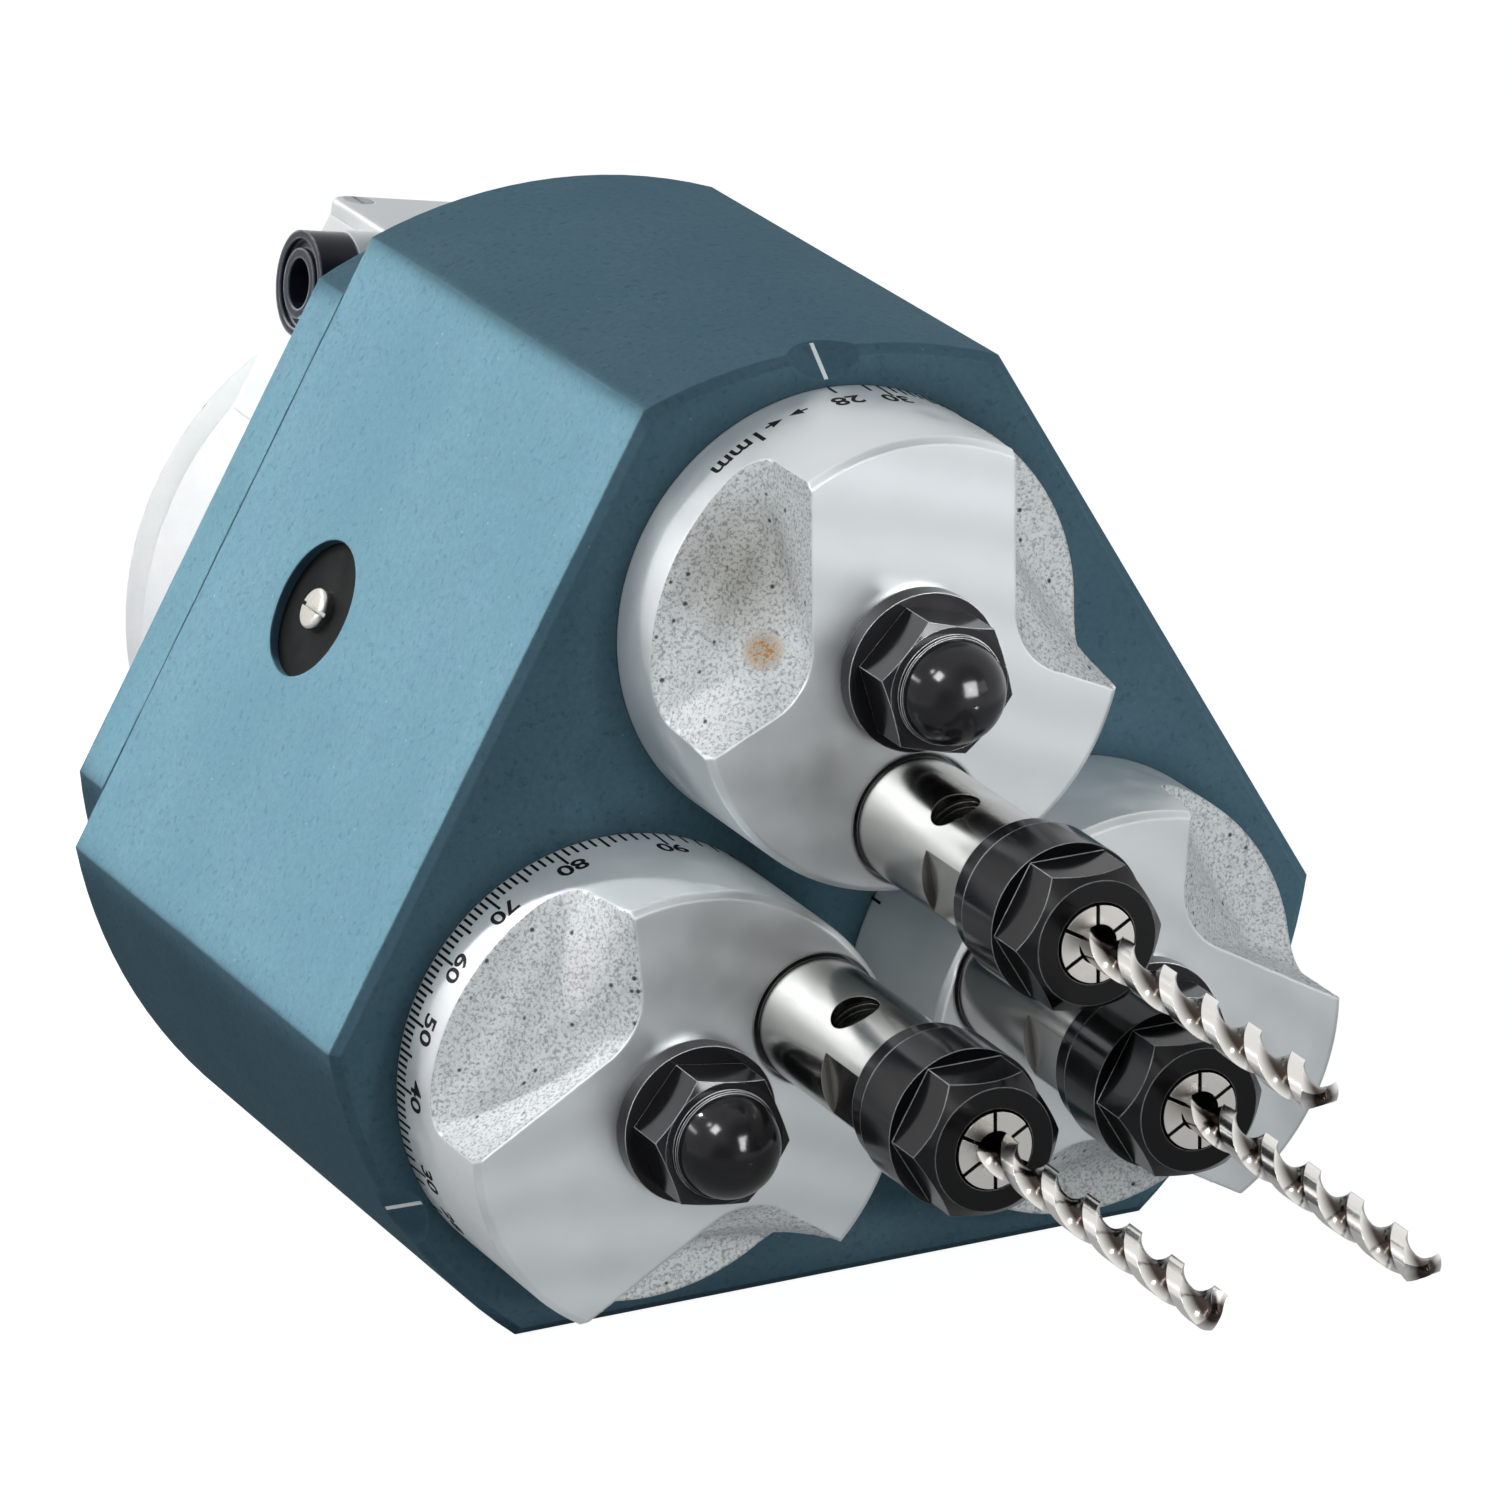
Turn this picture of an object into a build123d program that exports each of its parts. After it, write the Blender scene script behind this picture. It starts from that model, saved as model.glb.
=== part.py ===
from build123d import *
import math
import os

# Three-spindle boring head with a built-on motor.
# Millimetres. X to the right, Y to the rear, Z up. The origin is in the middle of the bottom flat.
# A depth is measured along Y from the housing's front face, so pieces in front of it have negative depths.
# A front-view point is (x, z) from the machine axis, and angles there run counter-clockwise from the right.

# Fits
running_fit = 0.03          # radial room between pieces that turn on each other
seat_fit = 0.01             # radial room between pieces that stay together
face_gap = 0.1              # room between flat faces of pieces that turn on each other
end_float = 0.2             # axial room of the turning pieces inside the housing

# Gear train: drive gear on the machine axis, idlers on the disc axes, pinions on the spindles
gear_module = 1.0
drive_teeth = 44
idler_teeth = 28
pinion_teeth = 12
pressure_angle = 25.0
tooth_addendum = 0.8
tooth_dedendum = 1.05
backlash = 0.15
drive_phase = 0.0           # angle of the middle of one drive tooth
gear_width = 10.0
gear_step = 2.0             # between the pinions and the drive gear, along the axis
idler_overhang = 1.0        # idler past the drive gear

# Housing
spindle_count = 3
pinion_room = 0.6           # tip of an orbiting pinion to the wall of its bore
corner_wall = 6.6           # bore to the round corner
flat_wall = 8.6             # bore to the flat
edge_chamfer = 1.2
seam_chamfer = 0.25         # at the rear, where the cover meets the body
notch_radius = 6.5
notch_slope = 40.0          # index notch against the machine axis
notch_depth = 3.85          # at the front face
notch_reach = 15.0          # along the notch, to each side of the front face
side_recess_radius = 9.35
side_recess_depth = 8.0
side_recess_place = 55.2    # depth of its centre
side_plug_sink = 1.25       # plug below the flat
side_screw_head_radius = 2.9
side_screw_head_height = 1.6
side_screw_radius = 1.5
side_screw_length = 14.0
base_bolt_radius = 3.0
base_bolt_depth = 12.0
base_bolt_span_x = 60.0
base_bolt_span_y = 30.0
base_bolt_rear_edge = 8.0   # rear pair of holes to the rear edge of the bottom flat

# Swivel discs
disc_shoulder = 1.9         # disc radius past its bore
disc_thickness = 24.0
disc_edge_chamfer = 0.8
spigot_length = 12.0
web_half_width = 14.0       # straight web between the two finger pockets
pocket_floor = 10.0         # pocket floor above the housing, at the rim
pocket_bottom_radius = 4.0  # scoop between the floor and the walls
pocket_corner_radius = 9.5
pocket_floor_corner = 19.4  # corner on the web, above the disc centre, at the floor
pocket_face_corner = -2.0   # the same corner at the disc face
pocket_floor_end = 12.0     # end of the floor on the rim, degrees below the disc centre
pocket_face_end = 15.5      # the same end at the disc face
pocket_overrun = 0.2        # cutter past the rim, as a share of its length
pocket_over_face = 1.0      # cutter in front of the disc face
shank_gap = 0.45            # spindle collar to the hole that it turns in

# Rolling bearings: bore, outside diameter and width
spindle_bearing_bore = 8.0
spindle_bearing_od = 16.0
spindle_bearing_width = 5.0
spindle_bearing_recess = 3.0
spindle_bearing_lip = 1.0
front_bearing_bore = 6.0
front_bearing_od = 13.0
front_bearing_width = 5.0
front_bearing_recess = 5.0
shaft_bearing_bore = 12.0
shaft_bearing_od = 28.0
shaft_bearing_width = 8.0
race_share = 0.36           # thickness of each race against the height of the bearing's section
shield_gap = 0.15           # between a bearing's rings, at its shields

# Locking: stud, washer and domed nut in the middle of each disc
stud_radius = 5.0
stud_thread = 15.0
stud_end_room = 0.5
stud_past_hex = 3.2         # stud past the nut's hexagon, inside the dome
washer_radius = 10.3
washer_thickness = 2.5
nut_flats = 16.0
nut_height = 6.8
nut_neck_radius = 7.0
nut_neck_length = 0.6
nut_dome_radius = 6.7
nut_turns = (75.5, 81.0, 78.0)

# Idlers and their bushes
bush_wall = 2.0
bush_flange_radius = 9.0
bush_flange_thickness = 2.8
thrust_ring_radius = 6.0
thrust_ring_thickness = 1.6

# Spindles, chucks, collets and drills
spindle_collar_radius = 8.2
spindle_nose_length = 21.8
chuck_radius = 8.2
chuck_gap = 0.2             # spindle collar and chuck, in front of the disc face
chuck_shank_length = 28.6
chuck_nose_radius = 7.0
chuck_nose_length = 10.0
wrench_flat_distance = 7.1
wrench_flat_length = 11.0
wrench_flat_turn = 187.0
set_screw_place = 16.3      # behind the end of the chuck
set_screw_turn = 112.0
set_screw_radius = 3.2
set_screw_sink = 2.6
set_screw_seat = 2.6        # spindle axis to the flat that the screw presses on
mouth_thread_pitch = 0.8
mouth_thread_depth = 0.3
mouth_thread_count = 2
set_screw_socket = 3.0
set_screw_socket_depth = 2.0
collet_length = 18.0
collet_inset = 1.7          # rear of the collet in front of the chuck's shoulder
collet_rear_radius = 4.0
collet_taper = 8.0
collet_taper_length = 12.0
collet_land = 1.2
collet_front_cone = 1.5
collet_face_radius = 4.9
collet_slit = 0.5
collet_slit_count = 6
collet_slit_length = 14.0
drill_radius = 2.5
drill_core_radius = 0.83
drill_reach = 56.3          # drill tip past the collet face
drill_tail = 4.7            # drill behind the collet
flute_inset = 10.0          # flutes start inside the collet
drill_turns = (153.0, 32.0, 155.0)
drill_pitch = 21.0
drill_point = 118.0
drill_half_land = 28.0      # half the angle that each land takes up
flute_wall_radius = 1.25    # foot of the flute's steep side
flute_wall_turn = 36.0
flute_floor_turn = 58.0
flute_slope_turn = 100.0    # foot of the flute's gentle side
nut_collar_radius = 9.6
nut_collar_length = 2.4
nut_groove_radius = 9.0
nut_groove_length = 1.0
collet_nut_radius = 10.2
collet_nut_round_length = 7.9
collet_nut_flats = 17.0
collet_nut_hex_length = 5.2
collet_nut_cone_length = 2.6
collet_nut_front_radius = 7.9
collet_nut_gap = 0.3

# Drive line
shaft_step_room = 0.8
shaft_collar_radius = 8.0
shaft_collar_length = 5.0
cavity_room = 1.2           # drive gear tip to the wall of its cavity
carrier_inset = 1.0
carrier_rim = 4.3           # carrier flange past its spigot
carrier_lip = 5.0
carrier_flange = 6.0
carrier_screw_radius = 1.5
carrier_screw_length = 16.0
carrier_screw_head_radius = 1.4
carrier_screw_head_sink = 1.2
coupling_radius = 15.0
coupling_room = 2.0
hub_length = 9.0
jaw_length = 9.0
jaw_room = 1.0
jaw_count = 3
jaw_angle = 38.0
jaw_gap_angle = 0.4
spider_core_radius = 6.5
spider_eye_radius = 2.5

# Rear cover and motor
cover_thickness = 8.0
cover_step = 5.0            # cover inside the housing's round corners
cover_screw_radius = 2.5
cover_screw_head_radius = 4.2
cover_screw_head_height = 5.0
cover_screw_length = 20.0
cover_screw_inset = 8.0     # from the cover's round edge
cover_screw_spread = 12.0   # degrees to each side of a corner's middle
motor_radius = 43.0
motor_wall = 7.5
motor_spigot_radius = 21.0
motor_spigot_length = 6.0
front_shield_wall = 1.0     # flange in front of the bearing
frame_length = 22.0
rear_shield_wall = 2.0
rear_shield_round = 6.0
shaft_end_room = 1.0
rotor_radius = 20.0
air_gap = 0.4
stator_end_room = 2.0
rotor_end_room = 1.0
winding_thickness = 1.5
winding_radial_room = 3.0
motor_bolt_radius = 2.0
motor_bolt_room = 0.15
motor_bolt_head_radius = 3.4
motor_bolt_head_height = 4.0
motor_bolt_head_sink = 4.0
motor_bolt_grip = 6.5       # in the rear cover
motor_bolt_count = 4
motor_bolt_turn = 45.0      # angle of the first one

# Terminal box on the motor
box_turn = -11.0
box_width = 50.0
box_length = 29.0
box_front_inset = 3.0       # behind the motor's front
box_height = 53.5           # underside of the lid, from the motor axis
box_splay = 20.0            # slope of the end walls, wider towards the motor
box_foot = 26.0             # foot of the end walls, from the motor axis
box_corner_radius = 3.0
box_end_wall = 7.5
box_side_wall = 3.0
box_floor = 3.0
lid_thickness = 2.2
lid_edge_round = 0.8
lid_screw_inset = 2.8
lid_screw_radius = 1.5
lid_screw_head_radius = 2.0
lid_screw_head_height = 1.4
lid_screw_slot = 0.6
lid_screw_length = 8.0
gland_place = 9.0           # from the front wall of the box
gland_drop = 5.5            # below the lid
gland_thread_radius = 4.3
gland_boss_radius = 7.4     # on the box
gland_boss_length = 5.5
gland_cap_radius = 7.1
gland_cap_length = 6.0
gland_bore_radius = 3.4
gland_ring_radius = 6.0
gland_ring_depth = 1.0

# Radii and centres worked out from the gear train
drive_pitch_radius = gear_module * drive_teeth / 2
idler_pitch_radius = gear_module * idler_teeth / 2
pinion_pitch_radius = gear_module * pinion_teeth / 2
addendum = gear_module * tooth_addendum
shank_hole_radius = spindle_collar_radius + shank_gap
disc_circle = drive_pitch_radius + idler_pitch_radius
spindle_offset = idler_pitch_radius + pinion_pitch_radius
bore_radius = spindle_offset + pinion_pitch_radius + addendum + pinion_room
spigot_radius = bore_radius - running_fit
disc_radius = bore_radius + disc_shoulder
corner_radius = disc_circle + bore_radius + corner_wall
flat_distance = disc_circle * math.cos(math.pi / spindle_count) + bore_radius + flat_wall
cover_radius = corner_radius - cover_step
cavity_radius = drive_pitch_radius + addendum + cavity_room
chamber_radius = cavity_radius + carrier_rim + end_float
bush_radius = stud_radius + bush_wall

# Depths worked out along the gear train, from the front face to the rear
ring_front = spigot_length + end_float
pinion_front = ring_front + thrust_ring_thickness + end_float
pinion_rear = pinion_front + gear_width
drive_gear_front = pinion_rear + gear_step
drive_gear_rear = drive_gear_front + gear_width
idler_rear = drive_gear_rear + idler_overhang
bush_flange_front = idler_rear + end_float
bore_depth = bush_flange_front + bush_flange_thickness
stud_hole_depth = bore_depth + stud_thread + stud_end_room
front_bearing_rear = pinion_rear - front_bearing_recess
front_bearing_front = front_bearing_rear - front_bearing_width
shaft_bearing_front = drive_gear_rear + shaft_collar_length
shaft_bearing_rear = shaft_bearing_front + shaft_bearing_width
carrier_front = shaft_bearing_front - carrier_inset
carrier_rear = shaft_bearing_rear + carrier_lip
carrier_flange_front = carrier_rear - carrier_flange
front_hub_front = carrier_rear + coupling_room
front_hub_rear = front_hub_front + hub_length
rear_hub_front = front_hub_rear + jaw_length + jaw_room
rear_hub_rear = rear_hub_front + hub_length
body_depth = rear_hub_rear + jaw_room
cover_rear = body_depth + cover_thickness
shield_front = cover_rear
shield_rear = shield_front + front_shield_wall + shaft_bearing_width
frame_rear = shield_rear + frame_length
motor_rear = frame_rear + shaft_bearing_width + shaft_end_room + rear_shield_wall

# Depths in front of the housing, going forward from the disc face
disc_face = -disc_thickness
nut_seat = disc_face - face_gap - washer_thickness - face_gap
collar_front = disc_face - chuck_gap
chuck_rear = collar_front - chuck_gap
chuck_shoulder = chuck_rear - chuck_shank_length
chuck_front = chuck_shoulder - chuck_nose_length
spindle_front = collar_front - spindle_nose_length
collet_rear = chuck_shoulder - collet_inset
collet_front = collet_rear - collet_length
front_spindle_bearing = disc_face + spindle_bearing_recess
rear_spindle_bearing = -spindle_bearing_lip - spindle_bearing_width
drill_tip = collet_front - drill_reach
drill_rear = collet_rear + drill_tail

# The frame in which the pieces stand
front_y = -body_depth / 2
axis_height = flat_distance
middle = (0.0, 0.0)


def front_point(radius, angle, about=middle):
    """Front-view point at a radius and an angle from another one."""
    turn = math.radians(angle)
    return (about[0] + radius * math.cos(turn), about[1] + radius * math.sin(turn))


def station(depth, at=middle, turn=0.0):
    """Plane that faces the front, centred on a front-view point and turned counter-clockwise."""
    angle = math.radians(turn)
    return Plane(
        origin=(at[0], front_y + depth, axis_height + at[1]),
        x_dir=(math.cos(angle), 0, math.sin(angle)),
        z_dir=(0, -1, 0),
    )


def outward(distance, angle, depth):
    """Plane that faces away from the machine axis, with its own x along the machine."""
    turn = math.radians(angle)
    facing = Vector(math.cos(turn), 0, math.sin(turn))
    return Plane(
        origin=Vector(0, front_y + depth, axis_height) + facing * distance,
        x_dir=(0, 1, 0),
        z_dir=facing,
    )


def turned(at, outline, mode=Mode.ADD):
    """Revolve an outline of (radius, depth) points about an axis along the machine."""
    origin = (at[0], front_y, axis_height + at[1])
    with BuildSketch(Plane(origin=origin, x_dir=(1, 0, 0), z_dir=(0, 0, 1))) as section:
        with BuildLine():
            Polyline(*outline, close=True)
        make_face()
    revolve(section.sketch, axis=Axis(origin, (0, 1, 0)), mode=mode)


def ring(at, inner, outer, front, rear, mode=Mode.ADD):
    """Round tube along the machine, between two depths."""
    turned(at, [(inner, front), (outer, front), (outer, rear), (inner, rear)], mode)


def bars(points, radius, front, rear, mode=Mode.ADD):
    """Round bars along the machine, at front-view points, between two depths."""
    with BuildSketch(station(front)) as ends:
        with Locations(*points):
            Circle(radius)
    extrude(ends.sketch, amount=front - rear, mode=mode)


def prism(at, flats, turn, front, rear, mode=Mode.ADD):
    """Hexagonal bar along the machine; turn is the angle of one flat."""
    with BuildSketch(station(front, at)) as end:
        RegularPolygon(flats / 2, 6, major_radius=False, rotation=turn + 30)
    extrude(end.sketch, amount=front - rear, mode=mode)


def bearing(at, bore, od, front, width):
    """Shielded ball bearing: an inner and an outer ring, with the shields' narrow gap between them."""
    race = (od - bore) / 2 * race_share
    split = bore / 2 + race
    ring(at, bore / 2, split, front, front + width)
    ring(at, split + shield_gap, od / 2 - seat_fit, front, front + width)


def gear(at, teeth, phase, front, rear):
    """Involute spur gear; phase is the angle of the middle of one tooth."""
    pitch = gear_module * teeth / 2
    pressure = math.radians(pressure_angle)
    base = pitch * math.cos(pressure)
    tip = pitch + addendum
    root = pitch - gear_module * tooth_dedendum
    flank_foot = max(base, root)
    flank_radii = (flank_foot, (flank_foot + tip) / 2, tip)
    half_tooth = (math.pi * gear_module - backlash) / 4 / pitch
    at_pitch = math.tan(pressure) - pressure
    step = 2 * math.pi / teeth

    def half_angle(radius):
        roll = math.acos(min(1.0, base / radius))
        return half_tooth + at_pitch - (math.tan(roll) - roll)

    def spot(radius, angle):
        return (radius * math.cos(angle), radius * math.sin(angle))

    foot_angle = half_angle(flank_foot)
    with BuildSketch(station(front, at)) as face:
        with BuildLine():
            for tooth in range(teeth):
                centre = math.radians(phase) + tooth * step
                rise = [spot(radius, centre - half_angle(radius)) for radius in flank_radii]
                fall = [spot(radius, centre + half_angle(radius)) for radius in reversed(flank_radii)]
                gap_start = spot(root, centre + foot_angle)
                gap_end = spot(root, centre + step - foot_angle)
                if flank_foot > root:
                    Line(spot(root, centre - foot_angle), rise[0])
                    Line(fall[2], gap_start)
                ThreePointArc(*rise)
                ThreePointArc(rise[2], spot(tip, centre), fall[0])
                ThreePointArc(*fall)
                ThreePointArc(gap_start, spot(root, centre + step / 2), gap_end)
        make_face()
    extrude(face.sketch, amount=front - rear)


def mesh_phase(direction, teeth, phase, next_teeth):
    """Phase of a gear that meshes with another one, which lies the other way along the direction."""
    pitch_angle = 360 / teeth
    next_pitch_angle = 360 / next_teeth
    passed = ((direction - phase) / pitch_angle) % 1
    return direction + 180 - next_pitch_angle * (0.5 - passed)


def save(builder, name):
    """Label a finished piece and write it."""
    builder.part.label = name
    export_step(builder.part, f"parts/{name}.step")


os.makedirs("parts", exist_ok=True)
corner_angles = [90 + k * 360 / spindle_count for k in range(spindle_count)]
disc_turns = [angle - 90 for angle in corner_angles]
disc_centres = [front_point(disc_circle, angle) for angle in corner_angles]
spindle_centres = [front_point(disc_circle - spindle_offset, angle) for angle in corner_angles]

# Fastener places
cover_screw_circle = cover_radius - cover_screw_inset
cover_screw_angles = [angle + side * cover_screw_spread for angle in corner_angles for side in (-1, 1)]
cover_screw_points = [front_point(cover_screw_circle, angle) for angle in cover_screw_angles]
cover_head_front = cover_rear - cover_screw_head_height
cover_screw_front = cover_head_front - cover_screw_length
carrier_screw_circle = cavity_radius + carrier_rim / 2
carrier_screw_angles = [angle - 180 / spindle_count for angle in corner_angles]
carrier_screw_points = [front_point(carrier_screw_circle, angle) for angle in carrier_screw_angles]
carrier_screw_front = carrier_rear - carrier_screw_length
motor_bolt_circle = motor_radius - motor_wall / 2
motor_bolt_angles = [motor_bolt_turn + k * 360 / motor_bolt_count for k in range(motor_bolt_count)]
motor_bolt_points = [front_point(motor_bolt_circle, angle) for angle in motor_bolt_angles]
motor_bolt_hole = motor_bolt_radius + motor_bolt_room
motor_bolt_front = cover_rear - motor_bolt_grip
side_angle = corner_angles[0] + 180 / spindle_count
base_bolt_depth_along = body_depth - base_bolt_rear_edge - base_bolt_span_y / 2


def body_outline(radius):
    """Turned round with one flat between each pair of corners."""
    Circle(radius)
    RegularPolygon(flat_distance, spindle_count, major_radius=False, rotation=90, mode=Mode.INTERSECT)


# Housing: three disc bores from the front, the drive line's stepped cavity from the rear
with BuildPart() as housing_body:
    with BuildSketch(station(0)):
        body_outline(corner_radius)
    extrude(amount=-body_depth)
    ends = housing_body.faces().filter_by(Axis.Y).sort_by(Axis.Y)
    chamfer(ends[0].edges(), edge_chamfer)
    chamfer(ends[-1].edges(), seam_chamfer)
    with Locations(*[station(0, centre) for centre in disc_centres]):
        Hole(bore_radius, bore_depth)
    bars(disc_centres, stud_radius, bore_depth, stud_hole_depth, Mode.SUBTRACT)
    seat_radius = front_bearing_od / 2
    turned(
        middle,
        [
            (0, front_bearing_front),
            (seat_radius, front_bearing_front),
            (seat_radius, pinion_rear),
            (cavity_radius, pinion_rear),
            (cavity_radius, carrier_flange_front),
            (chamber_radius, carrier_flange_front),
            (chamber_radius, body_depth),
            (0, body_depth),
        ],
        Mode.SUBTRACT,
    )
    bars(carrier_screw_points, carrier_screw_radius, carrier_screw_front, carrier_flange_front, Mode.SUBTRACT)
    bars(cover_screw_points, cover_screw_radius, cover_screw_front, body_depth, Mode.SUBTRACT)
    for angle in corner_angles:
        slope = math.radians(notch_slope)
        facing = Vector(math.cos(math.radians(angle)), 0, math.sin(math.radians(angle)))
        along = facing * math.sin(slope) + Vector(0, math.cos(slope), 0)
        away = facing * math.cos(slope) - Vector(0, math.sin(slope), 0)
        foot = Vector(0, front_y, axis_height) + facing * (corner_radius - notch_depth)
        with BuildSketch(Plane(origin=foot + away * notch_radius, x_dir=along.cross(away), z_dir=along)):
            Circle(notch_radius)
        extrude(amount=notch_reach, both=True, mode=Mode.SUBTRACT)
    with Locations(outward(flat_distance, side_angle, side_recess_place)):
        CounterBoreHole(
            side_screw_radius, side_recess_radius, side_recess_depth, side_plug_sink + side_screw_length
        )
    with Locations(outward(flat_distance, 270, base_bolt_depth_along)):
        with GridLocations(base_bolt_span_y, base_bolt_span_x, 2, 2):
            Hole(base_bolt_radius, base_bolt_depth)
save(housing_body, "housing_body")

# Plug in the recess of the left flat, with its screw
with BuildPart() as side_plug:
    with BuildSketch(outward(flat_distance - side_plug_sink, side_angle, side_recess_place)):
        Circle(side_recess_radius - seat_fit)
        Circle(side_screw_radius + seat_fit, mode=Mode.SUBTRACT)
    extrude(amount=side_plug_sink - side_recess_depth)
save(side_plug, "side_plug")

with BuildPart() as side_plug_screw:
    with BuildSketch(outward(flat_distance - side_plug_sink, side_angle, side_recess_place)):
        Circle(side_screw_radius)
    extrude(amount=-side_screw_length)
    with BuildSketch(outward(flat_distance - side_plug_sink, side_angle, side_recess_place)):
        Circle(side_screw_head_radius)
    extrude(amount=side_screw_head_height)
    fillet(side_plug_screw.faces().sort_by(Axis.Z)[-1].edges(), side_screw_head_height / 2)
    screw_top = flat_distance - side_plug_sink + side_screw_head_height
    with BuildSketch(outward(screw_top, side_angle, side_recess_place)):
        Rectangle(2 * side_screw_head_radius, side_screw_head_height / 3)
    extrude(amount=-side_screw_head_height / 2, mode=Mode.SUBTRACT)
save(side_plug_screw, "side_plug_screw")

# Bearing carrier behind the drive gear
with BuildPart() as bearing_carrier:
    seat_radius = shaft_bearing_od / 2
    lip_radius = seat_radius - (shaft_bearing_od - shaft_bearing_bore) / 2 * race_share
    spigot = cavity_radius - seat_fit
    flange = cavity_radius + carrier_rim
    turned(
        middle,
        [
            (seat_radius, carrier_front),
            (spigot, carrier_front),
            (spigot, carrier_flange_front),
            (flange, carrier_flange_front),
            (flange, carrier_rear),
            (lip_radius, carrier_rear),
            (lip_radius, shaft_bearing_rear),
            (seat_radius, shaft_bearing_rear),
        ],
    )
    carrier_hole = carrier_screw_radius + seat_fit
    bars(carrier_screw_points, carrier_hole, carrier_flange_front, carrier_rear, Mode.SUBTRACT)
save(bearing_carrier, "bearing_carrier")

with BuildPart() as carrier_screws:
    bars(carrier_screw_points, carrier_screw_radius, carrier_screw_front, carrier_rear)
    for point in carrier_screw_points:
        socket_front = carrier_rear - carrier_screw_head_sink
        prism(point, carrier_screw_head_radius, 0, socket_front, carrier_rear, Mode.SUBTRACT)
save(carrier_screws, "carrier_screws")

# Bearings of the drive shaft
with BuildPart() as drive_bearings:
    bearing(middle, front_bearing_bore, front_bearing_od, front_bearing_front, front_bearing_width)
    bearing(middle, shaft_bearing_bore, shaft_bearing_od, shaft_bearing_front, shaft_bearing_width)
save(drive_bearings, "drive_bearings")

# Drive shaft with its gear and the front coupling hub
shaft_radius = shaft_bearing_bore / 2 - running_fit
journal_radius = front_bearing_bore / 2 - running_fit
shaft_step = drive_gear_front - shaft_step_room
with BuildPart() as drive_shaft:
    turned(
        middle,
        [
            (0, front_bearing_front + end_float),
            (journal_radius, front_bearing_front + end_float),
            (journal_radius, shaft_step),
            (shaft_radius, shaft_step),
            (shaft_radius, drive_gear_rear),
            (shaft_collar_radius, drive_gear_rear),
            (shaft_collar_radius, shaft_bearing_front - face_gap),
            (shaft_radius, shaft_bearing_front - face_gap),
            (shaft_radius, front_hub_rear),
            (0, front_hub_rear),
        ],
    )
save(drive_shaft, "drive_shaft")

with BuildPart() as drive_gear:
    gear(middle, drive_teeth, drive_phase, drive_gear_front, drive_gear_rear)
    bars([middle], shaft_radius + seat_fit, drive_gear_front, drive_gear_rear, Mode.SUBTRACT)
save(drive_gear, "drive_gear")


def claws(first_angle, count, width_angle, inner, outer, front, rear):
    """Ring sectors along the machine, spaced evenly round its axis."""
    with BuildSketch(station(front)) as sectors:
        for k in range(count):
            centre = first_angle + k * 360 / count
            low = centre - width_angle / 2
            high = centre + width_angle / 2
            with BuildLine():
                Line(front_point(inner, low), front_point(outer, low))
                ThreePointArc(front_point(outer, low), front_point(outer, centre), front_point(outer, high))
                Line(front_point(outer, high), front_point(inner, high))
                ThreePointArc(front_point(inner, high), front_point(inner, centre), front_point(inner, low))
            make_face()
    extrude(sectors.sketch, amount=front - rear)


spider_angle = 360 / jaw_count / 2 - jaw_angle - 2 * jaw_gap_angle
claw_inner = spider_core_radius + seat_fit
with BuildPart() as coupling_hub_front:
    ring(middle, shaft_radius + seat_fit, coupling_radius, front_hub_front, front_hub_rear)
    claws(0, jaw_count, jaw_angle, claw_inner, coupling_radius, front_hub_rear, front_hub_rear + jaw_length)
save(coupling_hub_front, "coupling_hub_front")

with BuildPart() as coupling_hub_rear:
    ring(middle, shaft_radius + seat_fit, coupling_radius, rear_hub_front, rear_hub_rear)
    claws(180, jaw_count, jaw_angle, claw_inner, coupling_radius, rear_hub_front - jaw_length, rear_hub_front)
save(coupling_hub_rear, "coupling_hub_rear")

with BuildPart() as coupling_spider:
    spider_front = front_hub_rear + face_gap
    spider_rear = rear_hub_front - face_gap
    ring(middle, spider_eye_radius, spider_core_radius, spider_front, spider_rear)
    claws(
        180 / jaw_count / 2,
        2 * jaw_count,
        spider_angle,
        spider_core_radius - spider_eye_radius / 2,
        coupling_radius,
        spider_front,
        spider_rear,
    )
save(coupling_spider, "coupling_spider")

# Rear cover, which carries the motor
with BuildPart() as rear_cover:
    with BuildSketch(station(body_depth)):
        body_outline(cover_radius)
        Circle(motor_spigot_radius + seat_fit, mode=Mode.SUBTRACT)
    extrude(amount=-cover_thickness)
    bars(cover_screw_points, cover_screw_radius + seat_fit, body_depth, cover_rear, Mode.SUBTRACT)
    bars(cover_screw_points, cover_screw_head_radius + seat_fit, cover_head_front, cover_rear, Mode.SUBTRACT)
    bars(motor_bolt_points, motor_bolt_radius, motor_bolt_front, cover_rear, Mode.SUBTRACT)
save(rear_cover, "rear_cover")

with BuildPart() as cover_screws:
    bars(cover_screw_points, cover_screw_radius, cover_screw_front, cover_head_front)
    bars(cover_screw_points, cover_screw_head_radius, cover_head_front, cover_rear)
    for point in cover_screw_points:
        socket_front = cover_rear - cover_screw_head_height / 2
        prism(point, cover_screw_head_radius, 0, socket_front, cover_rear, Mode.SUBTRACT)
save(cover_screws, "cover_screws")

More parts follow.
